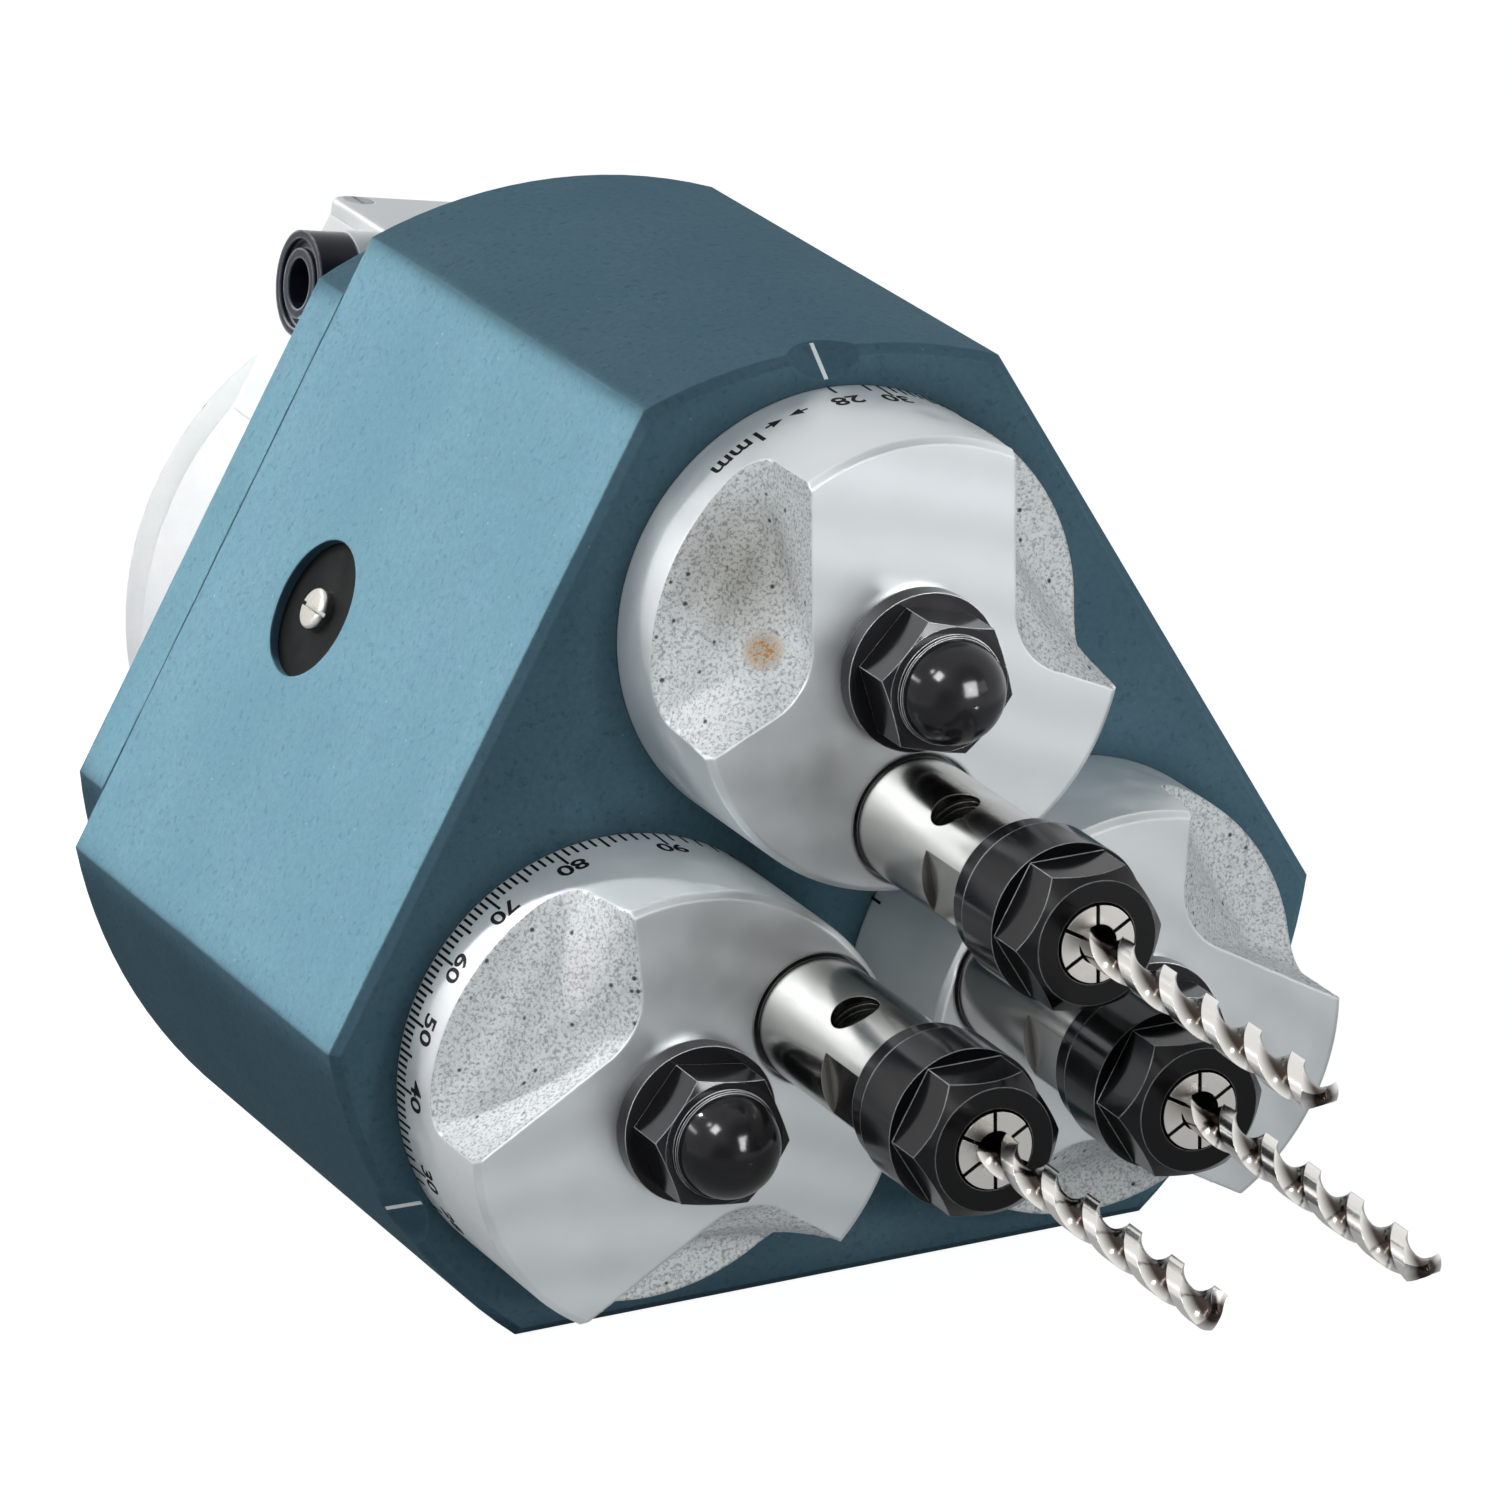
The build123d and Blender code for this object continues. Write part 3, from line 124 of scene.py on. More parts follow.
world = bpy.data.worlds.new("white_studio")
bpy.context.scene.world = world
world.use_nodes = True
sky = world.node_tree
sky.nodes.clear()
path = add_node(sky, "ShaderNodeLightPath").outputs
way = add_node(sky, "ShaderNodeTexCoord").outputs["Generated"]
mirrored = 1.0
for side, outer, inner in ((DIM_FRONT, 0.70, 0.93), (DIM_LEFT, 0.84, 0.97)):
    facing = add_node(sky, VECTOR_MATH, {0: way, 1: side}, operation="DOT_PRODUCT")
    dimmed = add_node(sky, MAP_RANGE, {
        "Value": facing.outputs["Value"], "From Min": outer, "From Max": inner,
        "To Min": 1.0, "To Max": DIM_LEVEL})
    both = add_node(sky, MATH, {0: mirrored, 1: dimmed.outputs[0]}, operation="MULTIPLY")
    mirrored = both.outputs[0]
seen = add_node(sky, MATH, {0: path["Is Camera Ray"], 1: path["Is Transmission Ray"]}, operation="MAXIMUM")
level = add_node(sky, MATH, {0: path["Is Glossy Ray"], 1: mirrored, 2: seen.outputs[0]},
                 operation="MULTIPLY_ADD")
shown = add_node(sky, MATH, {0: seen.outputs[0], 1: path["Is Glossy Ray"]}, operation="MAXIMUM")
soft = add_node(sky, "ShaderNodeBackground", {"Color": linear("e2f1ff"), "Strength": AMBIENT})
white = add_node(sky, "ShaderNodeBackground", {"Color": WHITE, "Strength": level.outputs[0]})
either = add_node(sky, "ShaderNodeMixShader", {0: shown.outputs[0], 1: soft.outputs[0], 2: white.outputs[0]})
add_node(sky, "ShaderNodeOutputWorld", {"Surface": either.outputs[0]})
print("world made:", world.name)

# %% [markdown]
# The pale floor does the same as the world. It is matt white paper, so the shadow under the head stays, and
# it adds just enough of its own white for the camera. In metal the floor is darker near the head, which keeps
# the light off it, and far out on the dim side beside the camera.

# %% Floor
FLOOR_GLOW = 0.93
NEAR_GLOW = 0.30
NEAR_REACH = 0.22
FAR_REACH = 0.36
FLOOR_HALF = 4.0
FLOOR_DROP = 0.05 * MM

floor_paper = bpy.data.materials.new("white_paper_floor")
floor_paper.use_nodes = True
paper = floor_paper.node_tree
paper.nodes.clear()
path = add_node(paper, "ShaderNodeLightPath").outputs
spot = add_node(paper, "ShaderNodeTexCoord").outputs["Object"]
seen = add_node(paper, MATH, {0: path["Is Camera Ray"], 1: path["Is Transmission Ray"]},
                operation="MAXIMUM")
seen = add_node(paper, MATH, {0: seen.outputs[0], 1: FLOOR_GLOW}, operation="MULTIPLY")
way = add_node(paper, VECTOR_MATH, {0: spot}, operation="NORMALIZE")
beside = add_node(paper, VECTOR_MATH, {0: way.outputs[0], 1: DIM_LEFT}, operation="DOT_PRODUCT")
far_glow = add_node(paper, MAP_RANGE, {
    "Value": beside.outputs["Value"], "From Min": 0.86, "From Max": 0.97,
    "To Min": FLOOR_GLOW, "To Max": DIM_LEVEL})
away = add_node(paper, VECTOR_MATH, {0: spot}, operation="LENGTH")
mirrored = add_node(paper, MAP_RANGE, {
    "Value": away.outputs["Value"], "From Min": NEAR_REACH, "From Max": FAR_REACH,
    "To Min": NEAR_GLOW, "To Max": far_glow.outputs[0]})
glow = add_node(paper, MATH, {
    0: path["Is Glossy Ray"], 1: mirrored.outputs[0], 2: seen.outputs[0]}, operation="MULTIPLY_ADD")
matt = add_node(paper, "ShaderNodeBsdfDiffuse", {"Color": linear("c4c4c4")})
lift = add_node(paper, "ShaderNodeEmission", {"Color": WHITE, "Strength": glow.outputs[0]})
both = add_node(paper, "ShaderNodeAddShader", {0: matt.outputs[0], 1: lift.outputs[0]})
add_node(paper, "ShaderNodeOutputMaterial", {"Surface": both.outputs[0]})

floor_mesh = bpy.data.meshes.new("floor")
corners = [(-1, -1), (1, -1), (1, 1), (-1, 1)]
corners = [(x * FLOOR_HALF, y * FLOOR_HALF, -FLOOR_DROP) for x, y in corners]
floor_mesh.from_pydata(corners, [], [(0, 1, 2, 3)])
floor_mesh.materials.append(floor_paper)
floor = bpy.data.objects.new("floor", floor_mesh)
bpy.context.scene.collection.objects.link(floor)
print("floor side, m:", 2 * FLOOR_HALF)

# %% [markdown]
# All lamps are softboxes. In a studio, flags and grids keep a lamp's light off some pieces. Here a small
# spread stands for a deep grid, and light linking names the pieces that a lamp reaches.

# %% Lamp helper
def softbox(name, place, target, across, size, watts, spread=180.0, only=(), but=()):
    """Rectangular lamp aimed at a target, its width along a direction, for all pieces or some."""
    lamp = bpy.data.lights.new(name, "AREA")
    lamp.shape = "RECTANGLE"
    lamp.size, lamp.size_y = size
    lamp.energy = watts
    lamp.spread = math.radians(spread)
    back = (Vector(place) - Vector(target)).normalized()
    side = Vector(across)
    side = (side - back * side.dot(back)).normalized()
    turn = Matrix((side, back.cross(side), back)).transposed().to_4x4()
    holder = bpy.data.objects.new(name, lamp)
    holder.matrix_world = Matrix.Translation(place) @ turn
    bpy.context.scene.collection.objects.link(holder)
    if only or but:
        group = bpy.data.collections.new(name + "_pieces")
        for order, piece in enumerate([*only, *but]):
            group.objects.link(piece)
            group.collection_objects[order].light_linking.link_state = "INCLUDE" if only else "EXCLUDE"
        holder.light_linking.receiver_collection = group


DISC_GROUP = (0.0, -0.08, 0.08)
LEFT_TO_RIGHT = (1.0, 0.0, 0.0)
FRONT_TO_REAR = (0.0, 1.0, 0.0)
UPRIGHT = (0.0, 0.0, 1.0)
print("lamps aim at the discs:", DISC_GROUP)

# %% [markdown]
# The main light stands high behind the left flat, and its narrow beam ends at the edges of the round corners.
# Housing and cover have each their own, as wide as their own flat, and a weaker one lights the bare metal and
# the motor. Small lamps on the left put sharp lights on the black nuts and a long stripe on the chucks. Soft
# ones above, in front and low on the right give the shaded sides their form.

# %% Lamps
BEAM_ACROSS = (0.851, 0.0, 0.526)
BEAM_START = (-0.257, 0.304, 0.421)
BEAM_END = (-0.047, 0.004, 0.081)
METAL_BEAM_START = (-0.256, 0.336, 0.422)
METAL_BEAM_END = (-0.046, 0.036, 0.082)
FRONT_RIGHT = (0.04, 0.0, 0.06)
DEEP_GRID = 0.5
SHALLOW_GRID = 3.0

housing, cover = nodes["housing_body"], nodes["rear_cover"]
top_pieces = [housing, cover, nodes["terminal_box"], nodes["terminal_lid"], nodes["motor_frame"]]
lock_nuts = [nodes[f"lock_nut_{number}"] for number in (1, 2, 3)]
collet_nuts = [nodes[f"collet_nut_{number}"] for number in (1, 2, 3)]
washers = nodes["lock_washers"]
softbox("body_key", BEAM_START, BEAM_END, BEAM_ACROSS, (0.0775, 0.100), 0.0425, DEEP_GRID, only=[housing])
softbox("cover_key", BEAM_START, BEAM_END, BEAM_ACROSS, (0.0622, 0.100), 0.0341, DEEP_GRID, only=[cover])
softbox("metal_key", METAL_BEAM_START, METAL_BEAM_END, BEAM_ACROSS, (0.075, 0.150), 0.021, SHALLOW_GRID,
        but=[housing, cover])
softbox("rear_strip", (-0.44, 0.20, 0.26), DISC_GROUP, FRONT_TO_REAR, (0.30, 0.04), 0.60,
        but=[housing, cover])
softbox("left_spot", (-0.40, -0.06, 0.54), DISC_GROUP, FRONT_TO_REAR, (0.06, 0.06), 0.45)
softbox("top_softbox", (-0.20, 0.80, 0.55), DISC_GROUP, LEFT_TO_RIGHT, (0.40, 0.40), 4.0, only=top_pieces)
softbox("front_softbox", (0.23, -0.95, 0.36), DISC_GROUP, LEFT_TO_RIGHT, (0.10, 0.10), 0.5)
softbox("nut_softbox", (0.22, -0.80, 0.32), DISC_GROUP, LEFT_TO_RIGHT, (0.40, 0.40), 16.0,
        only=lock_nuts + [washers])
softbox("nut_spot", (-0.36, -0.24, 0.50), DISC_GROUP, FRONT_TO_REAR, (0.16, 0.16), 3.2,
        only=lock_nuts + collet_nuts + [washers])
softbox("right_softbox", (0.62, -0.68, 0.30), DISC_GROUP, (1.0, 1.0, 0.0), (0.30, 0.30), 0.7)
softbox("low_right", (0.27, -0.26, 0.03), FRONT_RIGHT, UPRIGHT, (0.12, 0.12), 0.22, only=[housing])

# %% [markdown]
# Each finish starts from a Principled shader and draws its patterns on object coordinates, at a real size in
# millimetres. No edge of a real piece is quite sharp, so most finishes also round their edges in the shading,
# with a bevel node that leaves the CAD mesh as it is, and raise a fine relief on top.

# %% Finish helpers
def new_finish(name, tone, roughness, metallic=0.0):
    """Material with a Principled shader, its tree, the shader and the coordinates to draw patterns on."""
    material = bpy.data.materials.new(name)
    material.use_nodes = True
    tree = material.node_tree
    shader = tree.nodes["Principled BSDF"]
    shader.inputs["Base Color"].default_value = linear(tone)
    shader.inputs["Roughness"].default_value = roughness
    shader.inputs["Metallic"].default_value = metallic
    place = add_node(tree, "ShaderNodeTexCoord").outputs["Object"]
    return material, tree, shader, place


def per_mm(size):
    """Texture scale whose features are about this many millimetres wide."""
    return 1.0 / (size * MM)


def raise_relief(tree, shader, edge_mm, height, strength, relief_mm, samples=4):
    """Rounds the edges of a finish and raises a relief on it. Returns the rounded normal."""
    rounded = add_node(tree, "ShaderNodeBevel", {"Radius": edge_mm * MM}, samples=samples)
    bump = add_node(tree, "ShaderNodeBump", {
        "Height": height, "Strength": strength, "Distance": relief_mm * MM, "Normal": rounded.outputs[0]})
    tree.links.new(bump.outputs[0], shader.inputs["Normal"])
    return rounded.outputs[0]


def edge_share(tree, rounded, most, least_turn, most_turn):
    """Share of an edge at a point: nought on a flat, most where the rounded normal has turned far away."""
    shape = add_node(tree, "ShaderNodeNewGeometry")
    along = add_node(tree, VECTOR_MATH, {0: rounded, 1: shape.outputs["Normal"]}, operation="DOT_PRODUCT")
    return add_node(tree, MAP_RANGE, {
        "Value": along.outputs["Value"], "From Min": least_turn, "From Max": most_turn,
        "To Min": 0.0, "To Max": most})


print("texture scale for a grain of 1 mm:", per_mm(1.0))

# %% [markdown]
# The housing and the rear cover are cast and powder coated in petrol blue. Powder coat is a film that was
# melted on: it could be one blue, but the eye then takes it for plastic. Each pattern below is one layer of
# tone over the one before: clouds, pebbles, dark and pale specks, a painted highlight on the edges, and
# painted shade in what is closed in.

# %% Powder coat
COAT_HOLLOW = 5.0 * MM

# Powder coat gives the eye a matt petrol blue, faintly pebbled, with a painted highlight along the edges and
# painted shade in its hollows.
powder_coat, tree, shader, place = new_finish("petrol_powder_coat", "688a99", 0.62)
shader.inputs["Specular IOR Level"].default_value = 0.015
cloud = add_node(tree, NOISE, {"Vector": place, "Scale": per_mm(22), "Detail": 3.0})
grain = add_node(tree, NOISE, {"Vector": place, "Scale": per_mm(0.9), "Detail": 4.0, "Roughness": 0.7})
cell = add_node(tree, "ShaderNodeTexVoronoi", {"Vector": place, "Scale": per_mm(3.4)})
spot = add_node(tree, NOISE, {"Vector": place, "Scale": per_mm(1.0), "Detail": 2.0})
closed = add_node(tree, "ShaderNodeAmbientOcclusion", {"Distance": COAT_HOLLOW}, samples=6)
rounded = raise_relief(tree, shader, 0.5, grain.outputs[0], 0.35, 0.06)
tint = add_node(tree, MAP_RANGE, {"Value": cloud.outputs[0], "From Min": 0.3, "From Max": 0.7})
pebble = add_node(tree, MAP_RANGE, {
    "Value": grain.outputs[0], "From Min": 0.35, "From Max": 0.65, "To Min": 0.0, "To Max": 0.5})
dark_spot = add_node(tree, MAP_RANGE, {
    "Value": spot.outputs[0], "From Min": 0.40, "From Max": 0.30, "To Min": 0.0, "To Max": 0.5})
fleck = add_node(tree, MAP_RANGE, {
    "Value": cell.outputs["Distance"], "From Min": 0.03, "From Max": 0.06, "To Min": 0.35, "To Max": 0.0})
# Painted highlight: a paler blue on the edges, where the chamfers would catch the light.
edge_highlight = edge_share(tree, rounded, 0.35, 0.97, 0.90)
# Painted shade: the coat darkens where ambient occlusion finds it closed in, as in the notches and round the
# discs.
hollow_shade = add_node(tree, MAP_RANGE, {
    "Value": closed.outputs["AO"], "From Min": 0.95, "From Max": 0.50, "To Min": 0.0, "To Max": 0.50})
film = linear("638696")
for share, tone in ((tint, "6d8f9e"), (pebble, "577a89"), (dark_spot, "4e707e"), (fleck, "a9c4cd"),
                    (edge_highlight, "8fb0bd"), (hollow_shade, "1c2b31")):
    layer = add_node(tree, MIX, {SHARE: share.outputs[0], COLOUR_A: film, COLOUR_B: linear(tone)},
                     data_type="RGBA")
    film = layer.outputs[MIXED]
tree.links.new(film, shader.inputs["Base Color"])
print("made", powder_coat.name)

# %% [markdown]
# Turned and ground steel shows fine lines round its axis. All the axes here run from front to rear, so the
# lines are noise squeezed along that one direction. The same small recipe makes each steel, with its own
# tone, gloss and line spacing, and also the bronze and aluminium inside. Painted shade darkens ground steel
# in its threaded holes.

# %% Turned and ground metals
SQUEEZE = (0.05, 1.0, 0.05)


def turned_metal(name, tone, roughness, line_mm, relief_mm, edge_mm=0.12, metallic=1.0):
    """Metal with turning lines round axes that run front to rear. Its edges are broken by a small bevel."""
    material, tree, shader, place = new_finish(name, tone, roughness, metallic)
    squeezed = add_node(tree, "ShaderNodeMapping", {"Vector": place, "Scale": SQUEEZE})
    lines = add_node(tree, NOISE, {"Vector": squeezed.outputs[0], "Scale": per_mm(line_mm), "Detail": 3.0})
    smear = add_node(tree, NOISE, {"Vector": place, "Scale": per_mm(6.0), "Detail": 4.0})
    gloss = add_node(tree, MAP_RANGE, {
        "Value": smear.outputs[0], "From Min": 0.3, "From Max": 0.7,
        "To Min": roughness * 0.8, "To Max": roughness * 1.25})
    tree.links.new(gloss.outputs[0], shader.inputs["Roughness"])
    raise_relief(tree, shader, edge_mm, lines.outputs[0], 0.5, relief_mm)
    return material


def darken_hollows(material, hollow_shade_tone, reach_mm):
    """Paints shade on a metal wherever it is closed in."""
    tree = material.node_tree
    base = tree.nodes["Principled BSDF"].inputs["Base Color"]
    closed = add_node(tree, "ShaderNodeAmbientOcclusion", {"Distance": reach_mm * MM}, samples=6)
    open_share = add_node(tree, MAP_RANGE, {
        "Value": closed.outputs["AO"], "From Min": 0.35, "From Max": 0.8})
    body = add_node(tree, MIX, {
        SHARE: open_share.outputs[0], COLOUR_A: linear(hollow_shade_tone), COLOUR_B: tuple(base.default_value)},
        data_type="RGBA")
    tree.links.new(body.outputs[MIXED], base)


# Ground steel mirrors the studio in long stripes along the chuck.
ground_steel = turned_metal("ground_steel", "b6b4b0", roughness=0.20, line_mm=0.5, relief_mm=0.006)
# Painted shade in the chuck's threaded holes.
darken_hollows(ground_steel, "1c1a18", 2.5)
# Spring steel, ground at the collet's face, is a bright star between black slits.
collet_steel = turned_metal("ground_spring_steel", "dedbd5", roughness=0.28, line_mm=0.6, relief_mm=0.006)
# Turned shafts are a duller grey with visible rings.
shaft_steel = turned_metal("turned_shaft_steel", "a4a3a1", roughness=0.32, line_mm=0.6, relief_mm=0.010)
# Hobbed gears are darker still, with the marks of the cutter.
gear_steel = turned_metal("hobbed_gear_steel", "98989a", roughness=0.36, line_mm=0.7, relief_mm=0.010)
# Bearing rings are polished and bright.
bearing_steel = turned_metal("polished_bearing_steel", "b9babb", roughness=0.18, line_mm=0.6, relief_mm=0.004)
# Bronze bushes are a warm brown gold.
bronze = turned_metal("turned_bronze", "b98a52", roughness=0.34, line_mm=0.6, relief_mm=0.008)
# Zinc plate is bright with a faint warm tint.
zinc_plate = turned_metal("zinc_plated_steel", "cbc8c2", roughness=0.26, line_mm=0.9, relief_mm=0.004)
# Turned aluminium is pale and satin.
hub_aluminium = turned_metal("turned_aluminium", "c8c9ca", roughness=0.35, line_mm=0.6, relief_mm=0.010)
# The motor's core is a stack of thin sheets, dark and ribbed.
core_steel = turned_metal("laminated_core_steel", "7b7c7e", roughness=0.45, line_mm=0.5, relief_mm=0.020)
print("steels made:", len([m for m in bpy.data.materials if "steel" in m.name]))

# %% [markdown]
# The nuts, washers and collet nuts are blackened steel, oiled and glossy. The plug is moulded black nylon,
# softer and slightly grained, and the cable gland is a dark grey nylon. Black needs its edges to read as a
# shape, so one recipe makes them all: a dark body, a fine grain, and a paler tone on the edges, which is
# partly wear and partly a painted highlight.

# %% Black finishes
def black_finish(name, tone, wear_and_highlight_tone, roughness, gloss_level, grain_mm, relief_mm, edge_mm, wear_and_highlight_share):
    """Dark body with a fine grain, and a paler tone on the edges: partly wear, partly a painted highlight."""
    material, tree, shader, place = new_finish(name, tone, roughness)
    shader.inputs["Specular IOR Level"].default_value = gloss_level
    grain = add_node(tree, NOISE, {"Vector": place, "Scale": per_mm(grain_mm), "Detail": 4.0})
    smear = add_node(tree, NOISE, {"Vector": place, "Scale": per_mm(5.0), "Detail": 5.0})
    gloss = add_node(tree, MAP_RANGE, {
        "Value": smear.outputs[0], "From Min": 0.3, "From Max": 0.7,
        "To Min": roughness * 0.75, "To Max": roughness * 1.3})
    tree.links.new(gloss.outputs[0], shader.inputs["Roughness"])
    rounded = raise_relief(tree, shader, edge_mm, grain.outputs[0], 0.4, relief_mm)
    # The paler edge tone is partly wear and partly a painted highlight.
    wear_and_highlight = edge_share(tree, rounded, wear_and_highlight_share, 0.97, 0.88)
    patchy = add_node(tree, MATH, {0: wear_and_highlight.outputs[0], 1: smear.outputs[0]}, operation="MULTIPLY")
    body = add_node(tree, MIX, {
        SHARE: patchy.outputs[0], COLOUR_A: linear(tone), COLOUR_B: linear(wear_and_highlight_tone)}, data_type="RGBA")
    tree.links.new(body.outputs[MIXED], shader.inputs["Base Color"])
    return material


# Oiled black oxide is deep black under a clear film, with sharp white painted highlights on every edge.
black_oxide = black_finish("oiled_black_oxide_steel", "121214", "d4d6d8", roughness=0.15, gloss_level=0.22,
                           grain_mm=0.5, relief_mm=0.008, edge_mm=0.20, wear_and_highlight_share=1.5)
# A black screw is the same without the oil: duller, its painted edge highlights only grey.
black_screw = black_finish("black_oxide_screw_steel", "161618", "77797b", roughness=0.28, gloss_level=0.35,
                           grain_mm=0.4, relief_mm=0.010, edge_mm=0.15, wear_and_highlight_share=0.8)
# Moulded black nylon is soft and even, with hardly a light on it.
black_plastic = black_finish("moulded_black_nylon", "0c0e0f", "2a2d2f", roughness=0.45, gloss_level=0.08,
                             grain_mm=0.3, relief_mm=0.020, edge_mm=0.25, wear_and_highlight_share=0.5)
# Grey nylon has broad painted highlights on its edges, as the rings of the gland show.
gland_nylon = black_finish("moulded_grey_nylon", "262a36", "d3d9e0", roughness=0.24, gloss_level=0.16,
                           grain_mm=0.3, relief_mm=0.010, edge_mm=0.55, wear_and_highlight_share=1.6)
# The coupling's rubber is a dull brick red.
spider_rubber = black_finish("red_coupling_rubber", "6e1d17", "8a3a30", roughness=0.62, gloss_level=0.40,
                             grain_mm=0.4, relief_mm=0.020, edge_mm=0.30, wear_and_highlight_share=0.4)
print("nuts are", black_oxide.name, "and the plug is", black_plastic.name)

# %% [markdown]
# The motor and its terminal box wear smooth white enamel, which was sprayed. It is glossier than the powder
# coat. A plain white would look unfinished close up, so it has a faint orange peel about two millimetres
# wide, and broad patches of a slightly greyer white.

# %% White enamel
# Sprayed enamel gives the eye a clean white with soft, slightly wavy lights.
white_enamel, tree, shader, place = new_finish("white_motor_enamel", "eef1f0", 0.38)
peel = add_node(tree, NOISE, {"Vector": place, "Scale": per_mm(2.0), "Detail": 2.0})
cloud = add_node(tree, NOISE, {"Vector": place, "Scale": per_mm(18.0), "Detail": 3.0})
film = add_node(tree, MIX, {
    SHARE: cloud.outputs[0], COLOUR_A: linear("f2f4f3"), COLOUR_B: linear("e6e9e8")}, data_type="RGBA")
tree.links.new(film.outputs[MIXED], shader.inputs["Base Color"])
raise_relief(tree, shader, 0.5, peel.outputs[0], 0.2, 0.03)
print("made", white_enamel.name)

# %% [markdown]
# Drills are polished tool steel: the lands shine, and the flutes are painted dark as painted shade. Both are
# one surface, so the tone follows the distance from the drill's own axis, and each drill has a material that
# knows where this axis is.

# %% Drill steel
LAND_TONE = "e2dfda"
FLUTE_SHADE_TONE = "3d342e"
CORE_RADIUS = 1.1 * MM
LAND_RADIUS = 2.3 * MM
ACROSS_AXIS = (1.0, 0.0, 1.0)


def drill_steel(number):
    """Tool steel of one drill: bright ground lands, and painted shade that darkens the flutes towards the
    core.
    """
    material = turned_metal(f"polished_tool_steel_{number}", LAND_TONE, roughness=0.18, line_mm=0.8,
                            relief_mm=0.003)
    tree = material.node_tree
    low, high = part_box(f"drill_bit_{number}")
    place = add_node(tree, "ShaderNodeTexCoord").outputs["Object"]
    flat = add_node(tree, "ShaderNodeMapping", {"Vector": place, "Location": -(low + high) / 2})
    flat = add_node(tree, VECTOR_MATH, {0: flat.outputs[0], 1: ACROSS_AXIS}, operation="MULTIPLY")
    radius = add_node(tree, VECTOR_MATH, {0: flat.outputs[0]}, operation="LENGTH")
    land = add_node(tree, MAP_RANGE, {
        "Value": radius.outputs["Value"], "From Min": CORE_RADIUS, "From Max": LAND_RADIUS})
    tone = add_node(tree, MIX, {
        SHARE: land.outputs[0], COLOUR_A: linear(FLUTE_SHADE_TONE), COLOUR_B: linear(LAND_TONE)}, data_type="RGBA")
    tree.links.new(tone.outputs[MIXED], tree.nodes["Principled BSDF"].inputs["Base Color"])
    return material


drill_finish = {f"drill_bit_{number}": drill_steel(number) for number in (1, 2, 3)}
print("drill finishes:", [material.name for material in drill_finish.values()])

# %% [markdown]
# The CAD nodes keep their meshes. Each one only swaps the plain colour of its record slot for a finish above.
# A few pieces have a finish of their own: the drills, the gland, and the lid's screws, which were sprayed
# over.

# %% Dress the CAD nodes
slot_finish = {
    "housing_paint": powder_coat, "motor_white": white_enamel,
    "cast_grey": hub_aluminium, "hub_aluminium": hub_aluminium, "bronze": bronze,
    "ground_steel": ground_steel, "collet_steel": collet_steel, "shaft_steel": shaft_steel,
    "gear_steel": gear_steel, "bearing_steel": bearing_steel, "drill_steel": bearing_steel,
    "core_steel": core_steel, "bright_screw": zinc_plate,
    "black_nut": black_oxide, "black_screw": black_screw, "black_plastic": black_plastic,
    "spider_rubber": spider_rubber,
}
own_finish = {"cable_gland": gland_nylon, "lid_screws": white_enamel, **drill_finish}
for node in nodes.values():
    for slot in node.material_slots:
        plain = slot.material.name.split(".")[0]
        slot.material = slot_finish[plain]
for name, finish in own_finish.items():
    nodes[name].material_slots[0].material = finish
print("nodes dressed:", len(nodes), "with a finish of their own:", len(own_finish))

# %% [markdown]
# Two machined finishes make up most of a swivel disc. The rim was turned and is satin, with a part of its
# light scattered, so it is less metallic than bare steel. The face was ground in wide arcs, which change its
# tone and its gloss a little from place to place. One even grey would show neither.

# %% Machined disc finishes
ARC_CENTRE = (0.05, 0.0, 0.06)

# A turned rim gives the eye a soft pale satin that the black marks stand out on.
turned_rim = turned_metal("turned_disc_rim", "f0f4f5", roughness=0.40, line_mm=0.45, relief_mm=0.004,
                          edge_mm=0.6, metallic=0.45)

# A ground face gives the eye a cool silver with wide, blurred reflections.
ground_face, tree, shader, place = new_finish("ground_disc_face", "b9bebf", 0.40, 1.0)
sweep = add_node(tree, "ShaderNodeMapping", {"Vector": place, "Location": ARC_CENTRE})
arcs = add_node(tree, "ShaderNodeTexWave", {
    "Vector": sweep.outputs[0], "Scale": per_mm(28.0), "Distortion": 2.0, "Detail": 3.0, "Detail Scale": 2.0},
    wave_type="RINGS", rings_direction="Y")
smear = add_node(tree, NOISE, {"Vector": place, "Scale": per_mm(7.0), "Detail": 5.0})
tone = add_node(tree, MIX, {
    SHARE: arcs.outputs[0], COLOUR_A: linear("d9dee0"), COLOUR_B: linear("e4e9eb")}, data_type="RGBA")
tree.links.new(tone.outputs[MIXED], shader.inputs["Base Color"])
gloss = add_node(tree, MAP_RANGE, {
    "Value": smear.outputs[0], "From Min": 0.3, "From Max": 0.7, "To Min": 0.36, "To Max": 0.46})
tree.links.new(gloss.outputs[0], shader.inputs["Roughness"])
raise_relief(tree, shader, 0.6, arcs.outputs[0], 0.1, 0.01, samples=6)
print("made", turned_rim.name, "and", ground_face.name)

# %% [markdown]
# The two finger pockets of a disc are left as they came out of the sand mould: grainy, with dark pits. In one
# of them there is an oily stain, darkened further by painted shade beside the pocket's inner wall, where grit
# and pits are darker, and a spot of rust. Both are placed by a point and a distance. Grain and pits are noise
# and cells at a real size, laid over each other as layers of tone.

# %% Sand-cast iron
RUST_PLACE = Vector((-18.3, -61.6, 93.5)) * MM
RUST_CORE, RUST_REACH = 0.6 * MM, 3.0 * MM
STAIN_AND_SHADE_PLACE = Vector((-17.8, -54.5, 101.5)) * MM
STAIN_AND_SHADE_CORE, STAIN_AND_SHADE_REACH = 2.0 * MM, 11.0 * MM
PIT_LIMIT = 0.68

